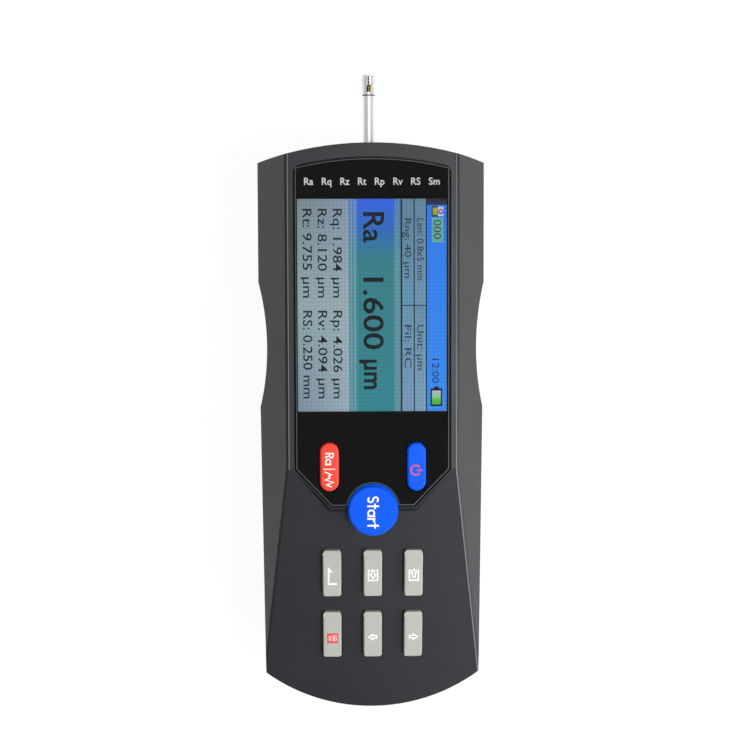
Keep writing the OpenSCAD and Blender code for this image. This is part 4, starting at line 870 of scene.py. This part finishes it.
def painted_bevel(node, lift_mm, name, material):
    """The triangles of a node that lean half way between level and upright, with each point moved out
    along the mean normal of the triangles that meet there. Triangles with two corners in one place are
    left out."""
    points, corners, nexts, normals, _ = neighbours(node)
    whole = (corners != nexts).all(1)
    bevel = whole & (normals[:, 2] > BEVEL_LEAST) & (normals[:, 2] < BEVEL_MOST)
    out = mean_normals(len(points), corners[bevel], normals[bevel])
    used, faces = np.unique(corners[bevel], return_inverse=True)
    data = new_mesh(name, points[used] + out[used] * lift_mm * MM, faces.reshape(-1, 3).tolist())
    add_piece(data, material, BODY_OF[node])


painted_bevel("window_lens", lift_mm=0.01, name="window_edge_paint", material=LACQUER)

# %% [markdown]
# ## Thread of the lead screw
# The CAD keeps the lead screw as a plain rod. Its thread is cut as a groove that winds round it. The
# Screw modifier could wind a profile, but a formula lets the groove fade out before the plain ends. The
# lead is the 2 mm that the carriage moves in a turn, so the motion and the look agree.

# %% Threaded screw in place of the plain rod
GROOVE = 0.25        # half of the groove's width, as a share of the lead
FLANK = 5 / 32       # width of its sloping side, as a share of the lead
ROD_STEP_MM = 0.2


def circle(steps):
    """Angles round a full turn, without the last, which would be the first again."""
    return np.linspace(0, 2 * np.pi, steps, endpoint=False)


def grid_faces(rows, columns, closed=False):
    """Faces of a grid that closes along its columns and, if asked, along its rows. Each joins a point,
    the one in the next row, the next one in that row, and the next one in its own row."""
    i, j = np.meshgrid(np.arange(rows if closed else rows - 1), np.arange(columns), indexing="ij")
    below = (i + 1) % rows * columns
    beside = (j + 1) % columns
    faces = np.stack([i * columns + j, below + j, below + beside, i * columns + beside], -1)
    return faces.reshape(-1, 4).tolist()


def threaded_rod(node, lead_mm, depth_mm, plain_mm, name):
    """A rod along Y as a grid of length and angle. The radius is the rod's own, less a groove whose
    place in the lead is the length over the lead minus the angle as a share of a turn; near the two
    ends the groove fades out and leaves plain journals."""
    low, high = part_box(node)
    middle = (low + high) / 2
    radius = (high.x - low.x) / 2
    rows = int((high.y - low.y) / (ROD_STEP_MM * MM)) + 1
    columns = 32
    along, angle = np.meshgrid(np.linspace(low.y, high.y, rows), circle(columns), indexing="ij")
    share = ((along - low.y) / (lead_mm * MM) - angle / (2 * np.pi)) % 1.0
    groove = np.clip((GROOVE - np.abs(share - 0.5)) / FLANK, 0, 1)
    fade = np.clip(np.minimum(along - low.y, high.y - along) / (plain_mm * MM) - 1, 0, 1)
    reach = radius - depth_mm * MM * groove * fade
    points = np.stack([middle.x + reach * np.cos(angle), along, middle.z + reach * np.sin(angle)], -1)
    ends = np.arange(rows * columns).reshape(rows, columns)[[0, -1]].tolist()
    faces = grid_faces(rows, columns) + [ends[0], ends[1][::-1]]
    data = new_mesh(name, points, faces)
    add_piece(data, FINISHES[SLOT_OF[node]], BODY_OF[node], stands_for=node)


threaded_rod("lead_screw", lead_mm=2.0, depth_mm=0.32, plain_mm=4.0, name="threaded_screw")

# %% [markdown]
# ## Painted shade at the foot of the pickup nose
# Where the nose meets the thin tube, the step lies in shade. A dark ring stands for that shade as painted
# shade. It is a small oval that is carried round the nose's axis. A torus from the menu would be too round,
# so the oval has its own two sizes. Its inner half is sunk in the nose, and only a fine dark line stands out.

# %% Ring of painted shade
# Painted shade: dark brown-grey metal with a dull highlight, for the shade in the step between nose and tube.
NOSE_STEP_SHADE = metal("painted_shade_dark_steel", "#4a423c", roughness=0.4, line_mm=0.1)


def ring(node, length_mm, rise_mm, name, material):
    """A grid of two angles. The first goes round a small oval whose middle lies on the nose's surface,
    half its length from the foot; the second goes round the nose."""
    low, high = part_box(node)
    middle = (low + high) / 2
    rows, columns = 12, 64
    oval, around = np.meshgrid(circle(rows), circle(columns), indexing="ij")
    reach = (high.x - low.x) / 2 + rise_mm * MM * np.cos(oval)
    along = low.y + length_mm * MM / 2 * (1 + np.sin(oval))
    points = np.stack([middle.x + reach * np.cos(around), along, middle.z + reach * np.sin(around)], -1)
    data = new_mesh(name, points, grid_faces(rows, columns, closed=True), smooth=True)
    add_piece(data, material, BODY_OF[node])


ring("pickup_nose", length_mm=0.36, rise_mm=0.06, name="nose_band", material=NOSE_STEP_SHADE)

# %% [markdown]
# ## Recesses of the case screws
# Each case screw has a cross recess for its driver. A cut would need a new solid; from where it can be
# seen, a dark cross of painted shade on the head looks the same. The heads are the lowest faces of the four
# screws.

# %% Cross recesses
ARM = 1.3      # millimetres: half the length of the cross, and half the width of its arms
SLOT = 0.28
SHADOW = "#151517"
screw_points = triangles("case_screws")[0].reshape(-1, 3)
heads = screw_points[screw_points[:, 2] < screw_points[:, 2].min() + TOUCH]
for number, corner in enumerate(((-1, -1), (-1, 1), (1, -1), (1, 1)), 1):
    head = heads[(heads[:, :2] * corner > 0).all(1)]
    cross = Print((head.min(0) + head.max(0)) / 2, ACROSS, -FLAT_UP)
    cross.box(-ARM, ARM, -SLOT, SLOT, SHADOW)
    cross.box(-SLOT, SLOT, -ARM, -SLOT, SHADOW)
    cross.box(-SLOT, SLOT, SLOT, ARM, SHADOW)
    cross.make("screw_recess_%d" % number, INK, "case", "screw_steel")

# %% [markdown]
# ## Floor and background
# The tester lies on white paper, which runs up into a white background. To keep it white without more
# light on the object, the paper shines by itself, but only for rays that the camera sends: straight,
# through glass or, for a part, in a mirror. A tenth of its look is real, which leaves a faint shadow. The
# sky does the same near the horizon and stays dim above, like a dark studio.

# %% Paper and sky
MIRRORED = 0.4       # part of the white background that a reflection shows
REAL = 0.1           # part of the paper's look that lamps light and shadows darken
SHEET = 2.0          # metres from the middle of the paper to its sides
SKY_LIGHT = 0.25
WHITE_TO = 0.1       # height over the horizon, as the sine of its angle, up to which the sky is white
DIM_FROM = 0.4       # the same for the height from which it is dim


def seen(tree):
    """How much of the white background a ray meets: all of it for the camera, straight or through
    glass, the mirrored part for a reflection, and none for the light that the object gets."""
    rays = add(tree, "LightPath").outputs
    mirror = add(tree, "Math", {0: rays["Is Glossy Ray"], 1: MIRRORED}, operation="MULTIPLY")
    glass = add(tree, "Math", {0: rays["Is Transmission Ray"], 1: mirror.outputs["Value"]},
                operation="MAXIMUM")
    whole = add(tree, "Math", {0: rays["Is Camera Ray"], 1: glass.outputs["Value"]}, operation="MAXIMUM")
    return whole.outputs["Value"]


# White paper: matt, and so bright that its edge is lost in the background.
paper, tree = new_material("paper_white")
look = add(tree, "BsdfPrincipled", {"Base Color": linear("#f4f4f4"), "Roughness": 0.9})
glow = add(tree, "Emission", {"Color": linear("#ffffff"), "Strength": 1.05})
part = add(tree, "Math", {0: seen(tree), 1: 1 - REAL}, operation="MULTIPLY")
mixed = add(tree, "MixShader", {
    "Fac": part.outputs["Value"], 1: look.outputs["BSDF"], 2: glow.outputs["Emission"]})
add(tree, "OutputMaterial", {"Surface": mixed.outputs["Shader"]})
corners = np.array([(-1, -1, 0), (1, -1, 0), (1, 1, 0), (-1, 1, 0)]) * SHEET
sheet = new_mesh("floor", corners, [[0, 1, 2, 3]])
sheet.materials.append(paper)
floor = bpy.data.objects.new("floor", sheet)
floor.location.z = -0.2 * MM    # just under the base, so that the two share no plane
bpy.context.scene.collection.objects.link(floor)

world = bpy.data.worlds.new("studio")
bpy.context.scene.world = world
world.use_nodes = True
sky = world.node_tree
sky.nodes.clear()
height = add(sky, "SeparateXYZ", {0: add(sky, "TexCoord").outputs["Generated"]}).outputs["Z"]
horizon = add(sky, "MapRange", {
    "Value": height, "From Min": WHITE_TO, "From Max": DIM_FROM, "To Min": 1.0, "To Max": 0.0})
white = add(sky, "Math", {0: horizon.outputs["Result"], 1: seen(sky)}, operation="MULTIPLY")
dim = add(sky, "Background", {"Color": linear("#ffffff"), "Strength": SKY_LIGHT})
bright = add(sky, "Background", {"Color": linear("#ffffff"), "Strength": 1.0})
mixed = add(sky, "MixShader", {
    "Fac": white.outputs["Value"], 1: dim.outputs["Background"], 2: bright.outputs["Background"]})
add(sky, "OutputWorld", {"Surface": mixed.outputs["Shader"]})
print("paper of", 2 * SHEET, "m under a sky of", SKY_LIGHT)

# %% [markdown]
# ## Lamps
# The light is that of a product photograph: a broad soft lamp from the right and a weak fill from the
# left. The sky alone could light the tester, but evenly, and the grey plastic would look flat. Two smaller
# lamps stand where the face and the sloping keypad almost mirror them, so the plastic brightens towards
# the right.

# %% Four soft lamps
def soft_light(name, where, target, size, power):
    """A square area light that faces a point; places and size in metres, power in watts."""
    lamp = bpy.data.lights.new(name, "AREA")
    lamp.size = size
    lamp.energy = power
    holder = bpy.data.objects.new(name, lamp)
    holder.location = where
    holder.rotation_euler = (Vector(target) - Vector(where)).to_track_quat("-Z", "Y").to_euler()
    bpy.context.scene.collection.objects.link(holder)
    print("lamp", name, "of", power, "W")


soft_light("key_light", (0.33, -0.14, 0.32), (0, -0.02, 0.03), size=0.3, power=1.45)
soft_light("sheen_light", (0.16, 0.02, 0.6), (0, 0, 0.03), size=0.1, power=1.2)
soft_light("keypad_light", (0.24, -0.36, 0.42), (0, -0.04, 0.03), size=0.12, power=0.56)
soft_light("fill_light", (-0.42, 0.34, 0.7), (0, 0.04, 0.03), size=0.6, power=0.62)

# %% [markdown]
# ## Camera
# The camera hangs almost straight above the display with a short tele lens, so the near face looks only
# a little larger than the base. A Track To constraint could aim it, but would leave no room for a small
# roll. Its frame is built from three directions instead: back from the aim to the eye, right across the
# picture, and the cross product of the two, which points up the picture.

# %% Camera above the display
EYE = Vector((-0.0095, 0.0443, 0.466))    # metres, as all places in the scene
AIM = Vector((0.00064, 0.0159, 0.046))
ROLL = math.radians(-0.17)
camera_data = bpy.data.cameras.new("camera")
camera_data.lens = 74.5
camera_data.sensor_width = 36
camera_data.clip_start = 0.01
camera = bpy.data.objects.new("camera", camera_data)
bpy.context.scene.collection.objects.link(camera)
back = (EYE - AIM).normalized()
right = Vector((-math.sin(ROLL), math.cos(ROLL), 0)).cross(back).normalized()
turned = Matrix((right, back.cross(right), back)).transposed().to_4x4()
camera.matrix_world = Matrix.Translation(EYE) @ turned
bpy.context.scene.camera = camera
bpy.context.scene.view_settings.view_transform = "Standard"
print("camera", round((EYE - AIM).length, 3), "m from its aim, lens", camera_data.lens, "mm")
